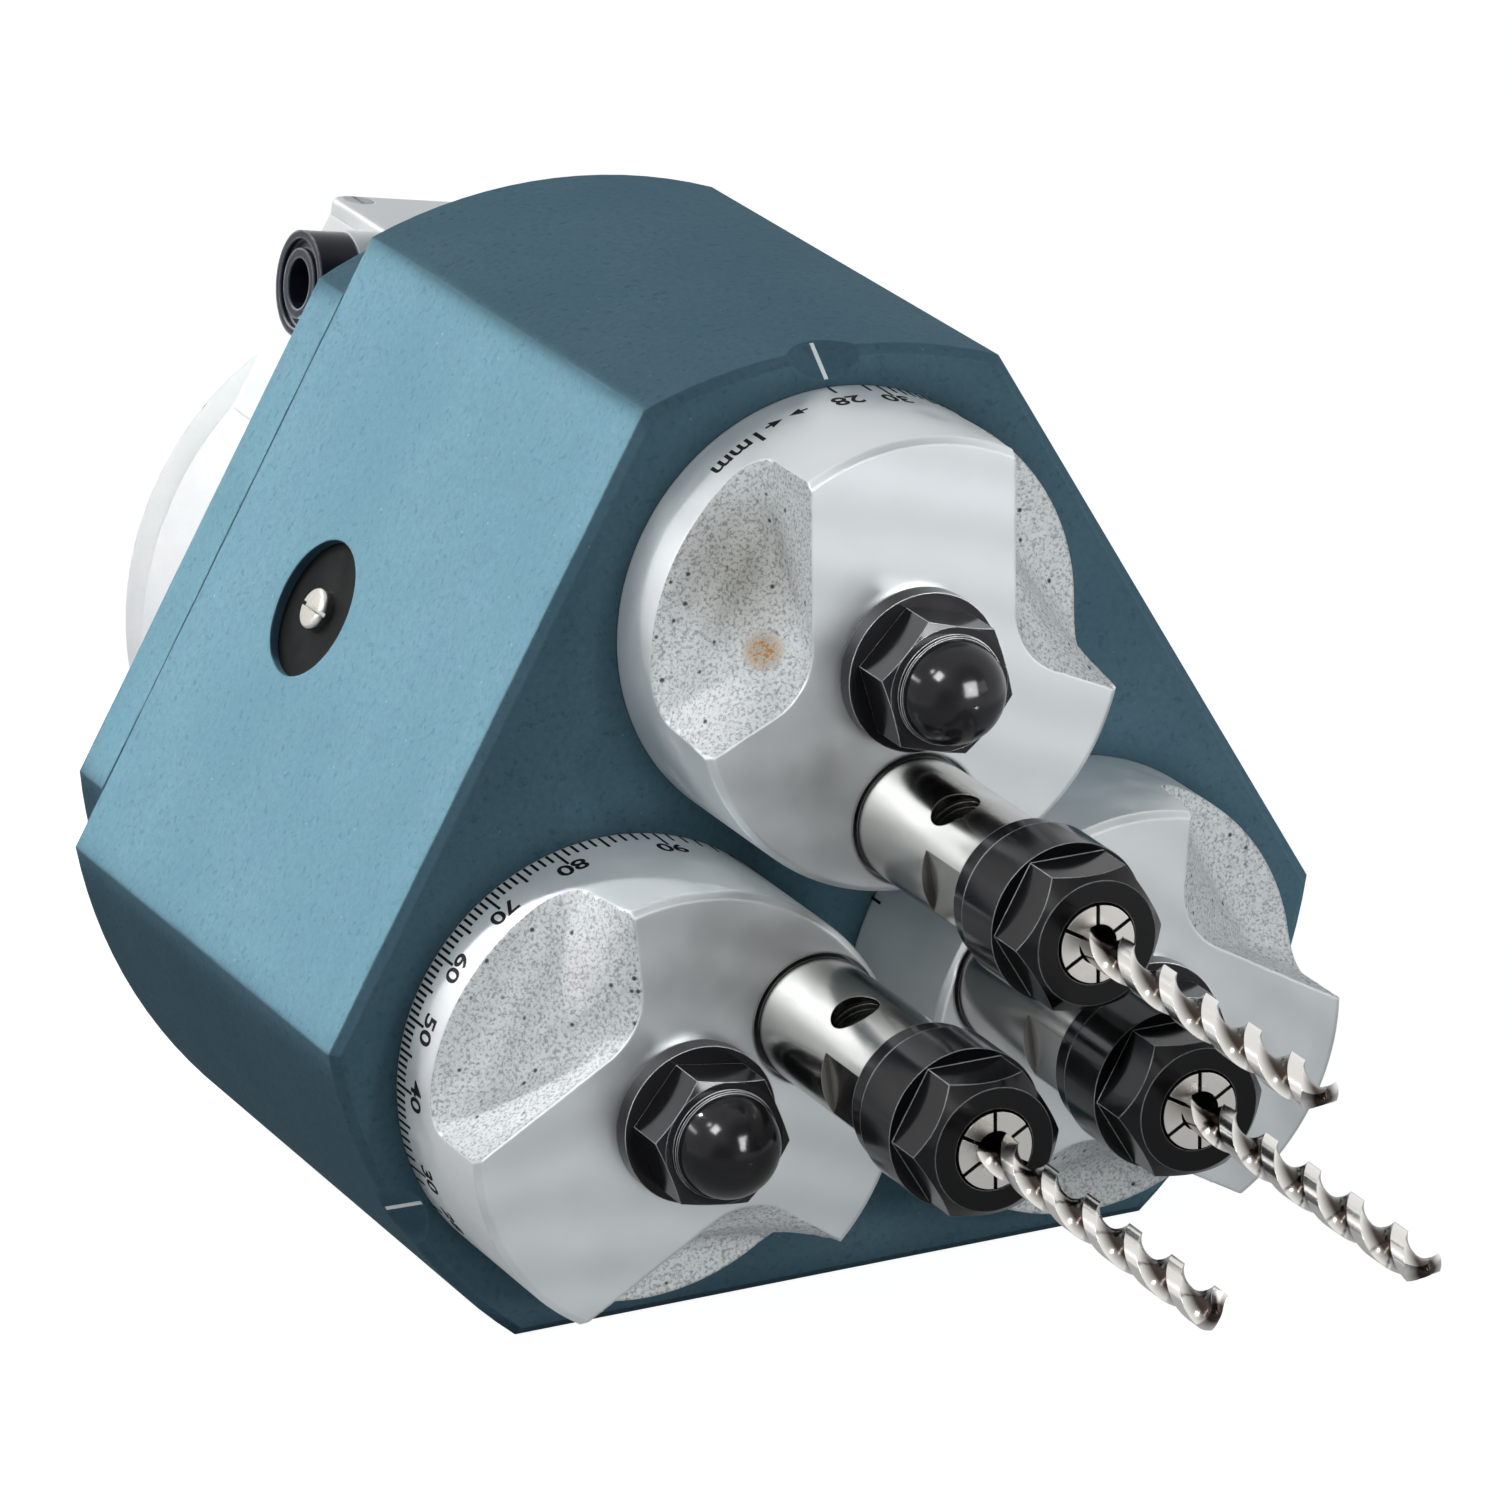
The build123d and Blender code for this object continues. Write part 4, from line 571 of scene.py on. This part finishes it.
# Sand-cast iron gives the eye a light grey crust with dark specks and no mirror in it.
sand_cast, tree, shader, place = new_finish("sand_cast_iron", "c4c9c9", 0.75, 0.35)
coarse = add_node(tree, NOISE, {"Vector": place, "Scale": per_mm(1.6), "Detail": 4.0, "Roughness": 0.7})
grit = add_node(tree, NOISE, {"Vector": place, "Scale": per_mm(0.45), "Detail": 3.0, "Roughness": 0.7})
pit = add_node(tree, "ShaderNodeTexVoronoi", {"Vector": place, "Scale": per_mm(2.0)})
# The stain is partly a real brownish stain and partly painted shade from the pocket's inner wall.
stain_and_shade_way = add_node(tree, VECTOR_MATH, {0: place, 1: STAIN_AND_SHADE_PLACE}, operation="DISTANCE")
stain_and_shade = add_node(tree, MAP_RANGE, {
    "Value": stain_and_shade_way.outputs["Value"], "From Min": STAIN_AND_SHADE_CORE, "From Max": STAIN_AND_SHADE_REACH,
    "To Min": 0.60, "To Max": 0.0})
dark_grit = add_node(tree, MAP_RANGE, {
    "Value": grit.outputs[0], "From Min": 0.52, "From Max": 0.37, "To Min": 0.0, "To Max": 0.7})
rust_way = add_node(tree, VECTOR_MATH, {0: place, 1: RUST_PLACE}, operation="DISTANCE")
near = add_node(tree, MAP_RANGE, {
    "Value": rust_way.outputs["Value"], "From Min": RUST_CORE, "From Max": RUST_REACH,
    "To Min": 1.4, "To Max": 0.0})
flaky = add_node(tree, MAP_RANGE, {"Value": grit.outputs[0], "From Min": 0.42, "From Max": 0.56})
rusty = add_node(tree, MATH, {0: near.outputs[0], 1: flaky.outputs[0]}, operation="MULTIPLY",
                 use_clamp=True)
chance = add_node(tree, "ShaderNodeSeparateColor", {0: pit.outputs["Color"]})
lucky = add_node(tree, MATH, {0: chance.outputs[0], 1: stain_and_shade.outputs[0]}, operation="ADD")
rare = add_node(tree, MATH, {0: lucky.outputs[0], 1: PIT_LIMIT}, operation="GREATER_THAN")
dark_pit = add_node(tree, MAP_RANGE, {
    "Value": pit.outputs["Distance"], "From Min": 0.10, "From Max": 0.20, "To Min": 0.9, "To Max": 0.0})
few_pits = add_node(tree, MATH, {0: dark_pit.outputs[0], 1: rare.outputs[0]}, operation="MULTIPLY")
stain_and_shade_grit = add_node(tree, MIX, {
    SHARE: stain_and_shade.outputs[0], COLOUR_A: linear("80858a"), COLOUR_B: linear("24231f")}, data_type="RGBA")
crust = linear("cdd2d2")
for share, tone in ((coarse, linear("ebeeee")), (stain_and_shade, linear("8f897a")),
                    (dark_grit, stain_and_shade_grit.outputs[MIXED]), (rusty, linear("b98846")),
                    (few_pits, linear("1d1e1d"))):
    layer = add_node(tree, MIX, {SHARE: share.outputs[0], COLOUR_A: crust, COLOUR_B: tone},
                     data_type="RGBA")
    crust = layer.outputs[MIXED]
tree.links.new(crust, shader.inputs["Base Color"])
raise_relief(tree, shader, 0.7, grit.outputs[0], 1.0, 0.10, samples=6)
print("made", sand_cast.name)

# %% [markdown]
# A swivel disc starts as a copy of its CAD mesh with the loose triangles merged, because the shape is right.
# Its faces are sorted by place into rim, face and pocket, in the disc's own frame: the pointer is up and the
# front of the housing is at depth nought.

# %% Sort the faces of a disc
FRONT_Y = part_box("housing_body")[0].y
CORNER_TURNS = {1: 0.0, 2: 120.0, 3: 240.0}
DISC_RADIUS = 29.3 * MM
RIM_BAND = 0.25 * MM
RIM_TILT = 0.3
FACE_TILT = -0.99
FACE_DEPTH = -23.9 * MM
CHAMFER_BAND = 0.9 * MM
CHAMFER_DEPTH = -23.1 * MM
POCKET_FRONT, POCKET_FLOOR = -23.99 * MM, -9.8 * MM
POCKET_SIDE = 13.8 * MM
RIM, FACE, POCKET = 0, 1, 2


def corner_turn(number):
    """Turn about the machine axis from the top corner of the housing to the corner of a disc."""
    return Matrix.Rotation(-math.radians(CORNER_TURNS[number]), 4, "Y")


def disc_place(number):
    """From a disc's own frame to the machine's."""
    low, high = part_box(f"swivel_disc_{number}")
    middle = (low + high) / 2
    return Matrix.Translation((middle.x, FRONT_Y, middle.z)) @ corner_turn(number)


def part_of_disc(face):
    """Which of its finishes a face of a disc takes."""
    middle = face.calc_center_median()
    radius = math.hypot(middle.x, middle.z)
    turned = radius > DISC_RADIUS - RIM_BAND and abs(face.normal.y) < RIM_TILT
    on_face = face.normal.y < FACE_TILT and middle.y < FACE_DEPTH
    on_chamfer = radius > DISC_RADIUS - CHAMFER_BAND and middle.y < CHAMFER_DEPTH
    inside = POCKET_FRONT < middle.y < POCKET_FLOOR and abs(middle.x) > POCKET_SIDE
    if turned:
        return RIM
    return POCKET if inside and not (on_face or on_chamfer) else FACE


print("front face of the housing, mm:", round(FRONT_Y / MM, 2))

# %% [markdown]
# The pocket triangles are split until they are short, so that the next step can raise a real grain on them. A
# grain attribute marks the points that lie wholly in a pocket.

# %% Discs from the CAD meshes
MERGE_REACH = 0.002 * MM
POCKET_EDGE = 0.40 * MM
SPLIT_ROUNDS = 9
SHARP_ANGLE = math.radians(32.0)


def in_pocket(edge):
    """True for an edge of a pocket face."""
    return any(face.material_index == POCKET for face in edge.link_faces)


def split_pockets(mesh):
    """Halves the long edges of the pocket faces until all are short."""
    for _ in range(SPLIT_ROUNDS):
        edges = [edge for edge in mesh.edges if edge.calc_length() > POCKET_EDGE and in_pocket(edge)]
        if not edges:
            break
        bmesh.ops.subdivide_edges(mesh, edges=edges, cuts=1)
        bmesh.ops.triangulate(mesh, faces=[face for face in mesh.faces if len(face.verts) > 3])


def new_piece(name, mesh, *finishes):
    """Turns a bmesh into an object of the scene, with its finishes."""
    data = bpy.data.meshes.new(name)
    mesh.to_mesh(data)
    mesh.free()
    for finish in finishes:
        data.materials.append(finish)
    piece = bpy.data.objects.new(name, data)
    bpy.context.scene.collection.objects.link(piece)
    return piece


disc_castings = {}
for number in (1, 2, 3):
    mesh = bmesh.new()
    mesh.from_mesh(nodes[f"swivel_disc_{number}"].data)
    mesh.transform(disc_place(number).inverted())
    bmesh.ops.remove_doubles(mesh, verts=mesh.verts, dist=MERGE_REACH)
    mesh.normal_update()
    for face in mesh.faces:
        face.smooth = True
        face.material_index = part_of_disc(face)
    split_pockets(mesh)
    for edge in mesh.edges:
        finishes = {face.material_index for face in edge.link_faces}
        edge.smooth = len(finishes) == 1 and edge.calc_face_angle(math.pi) < SHARP_ANGLE
    grain_layer = mesh.verts.layers.float.new("grain")
    for vert in mesh.verts:
        vert[grain_layer] = float(all(face.material_index == POCKET for face in vert.link_faces))
    casting = new_piece(f"disc_casting_{number}", mesh, turned_rim, ground_face, sand_cast)
    data = casting.data
    if "custom_normal" in data.attributes:
        data.attributes.remove(data.attributes["custom_normal"])
    disc_castings[number] = casting
    in_pockets = sum(polygon.material_index == POCKET for polygon in data.polygons)
    print(casting.name, "faces:", len(data.polygons), "in pockets:", in_pockets)

# %% [markdown]
# Some pieces are made by Geometry Nodes. One function starts a tree with named inputs, and one runs it on a
# piece and keeps the result as a plain mesh, with no modifiers left.

# %% Geometry Nodes helpers
def new_tree(name, inputs):
    """Empty Geometry Nodes tree with named inputs, given as (name, socket type, value)."""
    tree = bpy.data.node_groups.new(name, "GeometryNodeTree")
    tree.interface.new_socket("Geometry", in_out="INPUT", socket_type="NodeSocketGeometry")
    for label, kind, value in inputs:
        socket = tree.interface.new_socket(label, in_out="INPUT", socket_type=kind)
        socket.default_value = value
    tree.interface.new_socket("Geometry", in_out="OUTPUT", socket_type="NodeSocketGeometry")
    return tree, tree.nodes.new("NodeGroupInput").outputs


def grow(piece, tree, values):
    """Runs a tree on a piece and keeps the result as its plain mesh."""
    modifier = piece.modifiers.new(tree.name, "NODES")
    modifier.node_group = tree
    for item in tree.interface.items_tree:
        if item.item_type == "SOCKET" and item.in_out == "INPUT" and item.name in values:
            modifier[item.identifier] = values[item.name]
    evaluated = piece.evaluated_get(bpy.context.evaluated_depsgraph_get())
    result = bpy.data.meshes.new_from_object(evaluated)
    result.name = piece.name
    piece.modifiers.clear()
    piece.data = result


print("helpers for node trees are ready")

# %% [markdown]
# A sand-cast skin is rough to the touch, and at its borders a bump in the shading alone would look flat. So
# the tree lifts the pocket points by noise, along their own normals. The grain attribute is nought on the
# borders, and the pocket stays joined to the machined faces. The relief and the two grain sizes are named
# inputs.

# %% Cast skin in the pockets
SKIN_RELIEF = 0.30 * MM

skin, given = new_tree("cast_skin", [
    ("Relief", "NodeSocketFloat", 0.1 * MM), ("Fine grain", "NodeSocketFloat", 0.7 * MM),
    ("Coarse grain", "NodeSocketFloat", 1.8 * MM), ("Seed", "NodeSocketFloat", 1.0)])
fine_scale = add_node(skin, MATH, {0: 1.0, 1: given["Fine grain"]}, operation="DIVIDE")
coarse_scale = add_node(skin, MATH, {0: 1.0, 1: given["Coarse grain"]}, operation="DIVIDE")
fine = add_node(skin, NOISE, {
    "W": given["Seed"], "Scale": fine_scale.outputs[0], "Detail": 2.0}, noise_dimensions="4D")
coarse = add_node(skin, NOISE, {
    "W": given["Seed"], "Scale": coarse_scale.outputs[0], "Detail": 1.0}, noise_dimensions="4D")
summed = add_node(skin, MATH, {0: fine.outputs[0], 1: coarse.outputs[0]}, operation="ADD")
centred = add_node(skin, MATH, {0: summed.outputs[0], 1: 1.0}, operation="SUBTRACT")
height = add_node(skin, MATH, {0: centred.outputs[0], 1: given["Relief"]}, operation="MULTIPLY")
border = add_node(skin, "GeometryNodeInputNamedAttribute", {"Name": "grain"}, data_type="FLOAT")
lifted = add_node(skin, MATH, {0: height.outputs[0], 1: border.outputs[0]}, operation="MULTIPLY")
normal = add_node(skin, "GeometryNodeInputNormal")
offset = add_node(skin, VECTOR_MATH, {0: normal.outputs[0], "Scale": lifted.outputs[0]}, operation="SCALE")
moved = add_node(skin, "GeometryNodeSetPosition", {
    "Geometry": given["Geometry"], "Offset": offset.outputs[0]})
add_node(skin, "NodeGroupOutput", {0: moved.outputs[0]})

for number, casting in disc_castings.items():
    grow(casting, skin, {"Relief": SKIN_RELIEF, "Seed": float(number)})
    casting.data.transform(disc_place(number))
    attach(casting, f"disc_{number}")
    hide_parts(f"swivel_disc_{number}")
print("cast skin on", len(disc_castings), "discs")

# %% [markdown]
# The rim of each disc carries a scale of the distance between the drills. A mark for every millimetre stands
# where the disc must be turned to give that distance: with the disc axis at Rc from the machine axis and the
# spindle at e from the disc axis, d = sqrt(3) sqrt(Rc^2 + e^2 - 2 Rc e cos(angle)). A drawn scale would have
# to be measured. The tree solves the rule for the angle of each mark instead.

# %% Angles of the scale marks
# Engraving filler gives the eye a flat black that hardly shines.
black_filler = black_finish("black_engraving_filler", "0d0e10", "2c2e30", roughness=0.55, gloss_level=0.15,
                            grain_mm=0.2, relief_mm=0.010, edge_mm=0.02, wear_and_highlight_share=0.2)
DISC_CIRCLE = 36 * MM
FIRST_MARK = 28
LAST_MARK = 97
SPINDLE_OFFSET = DISC_CIRCLE - FIRST_MARK * MM / math.sqrt(3)

marks, given = new_tree("scale_marks", [
    ("Rim radius", "NodeSocketFloat", DISC_RADIUS), ("Disc circle", "NodeSocketFloat", DISC_CIRCLE),
    ("Spindle offset", "NodeSocketFloat", SPINDLE_OFFSET), ("First", "NodeSocketInt", FIRST_MARK),
    ("Count", "NodeSocketInt", LAST_MARK - FIRST_MARK + 1), ("Width", "NodeSocketFloat", 0.36 * MM),
    ("Short length", "NodeSocketFloat", 2.4 * MM), ("Step", "NodeSocketFloat", 1.0 * MM),
    ("Thickness", "NodeSocketFloat", 0.08 * MM), ("Base", "NodeSocketFloat", -0.3 * MM),
    ("Filler", "NodeSocketMaterial", black_filler)])
index = add_node(marks, "GeometryNodeInputIndex")
value = add_node(marks, MATH, {0: index.outputs[0], 1: given["First"]}, operation="ADD")
metres = add_node(marks, MATH, {0: value.outputs[0], 1: MM / math.sqrt(3)}, operation="MULTIPLY")
reach2 = add_node(marks, MATH, {0: metres.outputs[0], 1: 2.0}, operation="POWER")
circle2 = add_node(marks, MATH, {0: given["Disc circle"], 1: 2.0}, operation="POWER")
offset2 = add_node(marks, MATH, {0: given["Spindle offset"], 1: 2.0}, operation="POWER")
squares = add_node(marks, MATH, {0: circle2.outputs[0], 1: offset2.outputs[0]}, operation="ADD")
rest = add_node(marks, MATH, {0: squares.outputs[0], 1: reach2.outputs[0]}, operation="SUBTRACT")
product = add_node(marks, MATH, {0: given["Disc circle"], 1: given["Spindle offset"]}, operation="MULTIPLY")
cosine = add_node(marks, MATH, {0: rest.outputs[0], 1: product.outputs[0]}, operation="DIVIDE")
cosine = add_node(marks, MATH, {0: cosine.outputs[0], 1: 0.5}, operation="MULTIPLY")
angle = add_node(marks, MATH, {0: cosine.outputs[0]}, operation="ARCCOSINE")
sine = add_node(marks, MATH, {0: angle.outputs[0]}, operation="SINE")
print("marks on a scale:", LAST_MARK - FIRST_MARK + 1)

# %% [markdown]
# Each mark is a thin bar of black filler on the rim. The engraver makes fives longer and tens longer still,
# so that the eye can count. The tree sets one bar on each point, turned to its angle, and makes real faces of
# them.

# %% Bars of the scale marks
SCALE_TURNS = {1: 0.0, 2: -2.6, 3: 0.0}

steps = 0.0
for every in (5.0, 10.0):
    left_over = add_node(marks, MATH, {0: value.outputs[0], 1: every}, operation="MODULO")
    is_whole = add_node(marks, MATH, {0: left_over.outputs[0], 1: 0.5}, operation="LESS_THAN")
    counted = add_node(marks, MATH, {0: steps, 1: is_whole.outputs[0]}, operation="ADD")
    steps = counted.outputs[0]
longer = add_node(marks, MATH, {0: steps, 1: given["Step"]}, operation="MULTIPLY")
length = add_node(marks, MATH, {0: longer.outputs[0], 1: given["Short length"]}, operation="ADD")
half = add_node(marks, MATH, {0: length.outputs[0], 1: 0.5}, operation="MULTIPLY")
depth = add_node(marks, MATH, {0: given["Base"], 1: half.outputs[0]}, operation="SUBTRACT")
across = add_node(marks, MATH, {0: sine.outputs[0], 1: given["Rim radius"]}, operation="MULTIPLY")
upward = add_node(marks, MATH, {0: cosine.outputs[0], 1: given["Rim radius"]}, operation="MULTIPLY")
spot = add_node(marks, "ShaderNodeCombineXYZ", {
    0: across.outputs[0], 1: depth.outputs[0], 2: upward.outputs[0]})
dots = add_node(marks, "GeometryNodePoints", {"Count": given["Count"]})
dots = add_node(marks, "GeometryNodeSetPosition", {"Geometry": dots.outputs[0], "Position": spot.outputs[0]})
bar = add_node(marks, "GeometryNodeMeshCube", {"Size": (1.0, 1.0, 1.0)})
turn = add_node(marks, "ShaderNodeCombineXYZ", {1: angle.outputs[0]})
size = add_node(marks, "ShaderNodeCombineXYZ", {
    0: given["Width"], 1: length.outputs[0], 2: given["Thickness"]})
placed = add_node(marks, "GeometryNodeInstanceOnPoints", {
    "Points": dots.outputs[0], "Instance": bar.outputs[0], "Rotation": turn.outputs[0],
    "Scale": size.outputs[0]})
solid = add_node(marks, "GeometryNodeRealizeInstances", {0: placed.outputs[0]})
inked = add_node(marks, "GeometryNodeSetMaterial", {
    "Geometry": solid.outputs[0], "Material": given["Filler"]})
add_node(marks, "NodeGroupOutput", {0: inked.outputs[0]})


def scale_place(number):
    """From a scale's own frame to the machine's. One scale stands off its pointer by a small turn."""
    return disc_place(number) @ Matrix.Rotation(math.radians(SCALE_TURNS[number]), 4, "Y")


for number in (1, 2, 3):
    scale = new_piece(f"scale_marks_{number}", bmesh.new())
    grow(scale, marks, {"Filler": black_filler})
    scale.data.transform(scale_place(number))
    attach(scale, f"disc_{number}")
    print(scale.name, "faces:", len(scale.data.polygons))

# %% [markdown]
# Plain numbers stand in front of the long marks, bent round the rim. They could be cut by a Boolean, but thin
# filler on the rim looks the same. Each is a text object turned into a mesh, and its flat coordinates are
# read as an arc and a depth.

# %% Text on a rim
DIGIT_SIZE = 4.1 * MM
DIGIT_THICKNESS = 0.04 * MM
DIGIT_BOLD = 0.07 * MM
DIGIT_CURVE_STEPS = 4


def on_rim(clockwise, depth, lift):
    """Point on the rim at an angle from the pointer and a depth, lifted off the metal."""
    around = math.pi / 2 - clockwise
    radius = DISC_RADIUS + lift
    return radius * math.cos(around), depth, radius * math.sin(around)


def mark_angle(value):
    """Angle from the pointer, clockwise, of a value on the scale."""
    reach = value * MM / math.sqrt(3)
    cosine = (DISC_CIRCLE ** 2 + SPINDLE_OFFSET ** 2 - reach ** 2) / (2 * DISC_CIRCLE * SPINDLE_OFFSET)
    return math.acos(max(-1.0, min(1.0, cosine)))


def rim_text(mesh, words, clockwise, base):
    """Adds text to a bmesh, wrapped on the rim about a clockwise angle, its top towards the front."""
    curve = bpy.data.curves.new("rim_text", "FONT")
    curve.body = words
    curve.size = DIGIT_SIZE
    curve.align_x = "CENTER"
    curve.extrude = DIGIT_THICKNESS
    curve.offset = DIGIT_BOLD
    curve.resolution_u = DIGIT_CURVE_STEPS
    holder = bpy.data.objects.new("rim_text", curve)
    flat = bpy.data.meshes.new_from_object(holder)
    for vert in flat.vertices:
        vert.co = on_rim(clockwise - vert.co.x / DISC_RADIUS, base - vert.co.y, vert.co.z)
    mesh.from_mesh(flat)
    bpy.data.objects.remove(holder)
    bpy.data.curves.remove(curve)
    bpy.data.meshes.remove(flat)


print("mark 50 stands at, degrees:", round(math.degrees(mark_angle(50)), 1))

# %% [markdown]
# Beside the pointer, disc 1 also says what one step of the scale is worth: a small unit, and two arrows that
# meet. An arrow is a stem and a head, each a thin plate bent round the rim as the numbers are.

# %% Scale numbers
NUMBERS = (28, 30, 40, 50, 60, 70, 80, 90)
NUMBER_BASE = -4.6 * MM
UNIT_ANGLE, UNIT_BASE = math.radians(-31.2), -5.0 * MM
ARROWS = ((-22.2, -17.4), (-10.4, -15.4))
ARROW_DEPTH = -5.4 * MM
STEM_HALF, HEAD_HALF, HEAD_LENGTH = 0.16 * MM, 0.85 * MM, 1.7 * MM


def rim_arrow(mesh, start, end, depth):
    """Adds an arrow along the rim, from one clockwise angle to another, its point at the end."""
    way = 1 if end > start else -1
    length = abs(end - start) * DISC_RADIUS
    neck = length - HEAD_LENGTH
    stem = [(0, -STEM_HALF), (neck, -STEM_HALF), (neck, STEM_HALF), (0, STEM_HALF)]
    head = [(neck, -HEAD_HALF), (length, 0), (neck, HEAD_HALF)]
    for shape in (stem, head):
        layers = []
        for lift in (-DIGIT_THICKNESS, DIGIT_THICKNESS):
            layer = [mesh.verts.new(on_rim(start + way * along / DISC_RADIUS, depth + aside, lift))
                     for along, aside in shape]
            mesh.faces.new(layer)
            layers.append(layer)
        below, above = layers
        for i in range(len(shape)):
            j = (i + 1) % len(shape)
            mesh.faces.new((below[i], below[j], above[j], above[i]))


for number in (1, 2, 3):
    mesh = bmesh.new()
    for value in NUMBERS:
        rim_text(mesh, str(value), mark_angle(value), NUMBER_BASE)
    if number == 1:
        rim_text(mesh, "1mm", UNIT_ANGLE, UNIT_BASE)
        for start, end in ARROWS:
            rim_arrow(mesh, math.radians(start), math.radians(end), ARROW_DEPTH)
    bmesh.ops.recalc_face_normals(mesh, faces=mesh.faces)
    mesh.transform(scale_place(number))
    numbers = new_piece(f"scale_numbers_{number}", mesh, black_filler)
    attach(numbers, f"disc_{number}")
    print(numbers.name, "faces:", len(numbers.data.polygons))

# %% [markdown]
# The pointer of each scale is a white line painted along the bottom of the notch in the housing. A strip of
# colour in the paint would do from afar. A thin bar that follows the slope of the notch also keeps its edge
# close up.

# %% Index lines
AXIS_HEIGHT = 54 * MM
INDEX_LOW = Vector((0.0, 0.0, 66.15 * MM))
INDEX_HIGH = Vector((0.0, 4.47 * MM, 69.9 * MM))
INDEX_START, INDEX_LENGTH = 0.03, 0.94
INDEX_HALF_WIDTH = 0.28 * MM
INDEX_PROUD = 0.05 * MM

# Index paint gives the eye a clean matt white, a little uneven where the brush left it thin.
index_white, tree, shader, place = new_finish("white_index_paint", "dfe6e6", 0.5)
patch = add_node(tree, NOISE, {"Vector": place, "Scale": per_mm(0.8), "Detail": 3.0})
tone = add_node(tree, MIX, {
    SHARE: patch.outputs[0], COLOUR_A: linear("c9d3d4"), COLOUR_B: linear("eef2f2")}, data_type="RGBA")
tree.links.new(tone.outputs[MIXED], shader.inputs["Base Color"])

run = INDEX_HIGH - INDEX_LOW
rise = Vector((0.0, -run.z, run.y)).normalized() * INDEX_PROUD
start = INDEX_LOW + run * INDEX_START
sideways = Vector((INDEX_HALF_WIDTH, 0.0, 0.0))
index_lines = []
for number in (1, 2, 3):
    mesh = bmesh.new()
    ring = [mesh.verts.new(start + run * t + rise * h + sideways * s)
            for t in (0.0, INDEX_LENGTH) for h, s in ((-1, -1), (-1, 1), (1, 1), (1, -1))]
    mesh.faces.new(ring[:4])
    mesh.faces.new(ring[4:])
    for i in range(4):
        j = (i + 1) % 4
        mesh.faces.new((ring[i], ring[j], ring[j + 4], ring[i + 4]))
    bmesh.ops.recalc_face_normals(mesh, faces=mesh.faces)
    mesh.transform(Matrix.Translation((0.0, FRONT_Y, AXIS_HEIGHT)) @ corner_turn(number))
    line = new_piece(f"index_line_{number}", mesh, index_white)
    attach(line, "housing")
    index_lines.append(line)
print("index lines:", len(index_lines))

# %% [markdown]
# The rough pockets and the painted lines take little from the mirrored studio, so the discs and the lines get
# one soft lamp more, from near the camera. It stands here because light linking needs the finished pieces.

# %% Fill light for discs and pointers
filled = list(disc_castings.values()) + index_lines
softbox("disc_fill", (-0.225, -0.91, 0.35), DISC_GROUP, LEFT_TO_RIGHT, (0.30, 0.30), 4.0, only=filled)
print("pieces in the fill light:", len(filled))
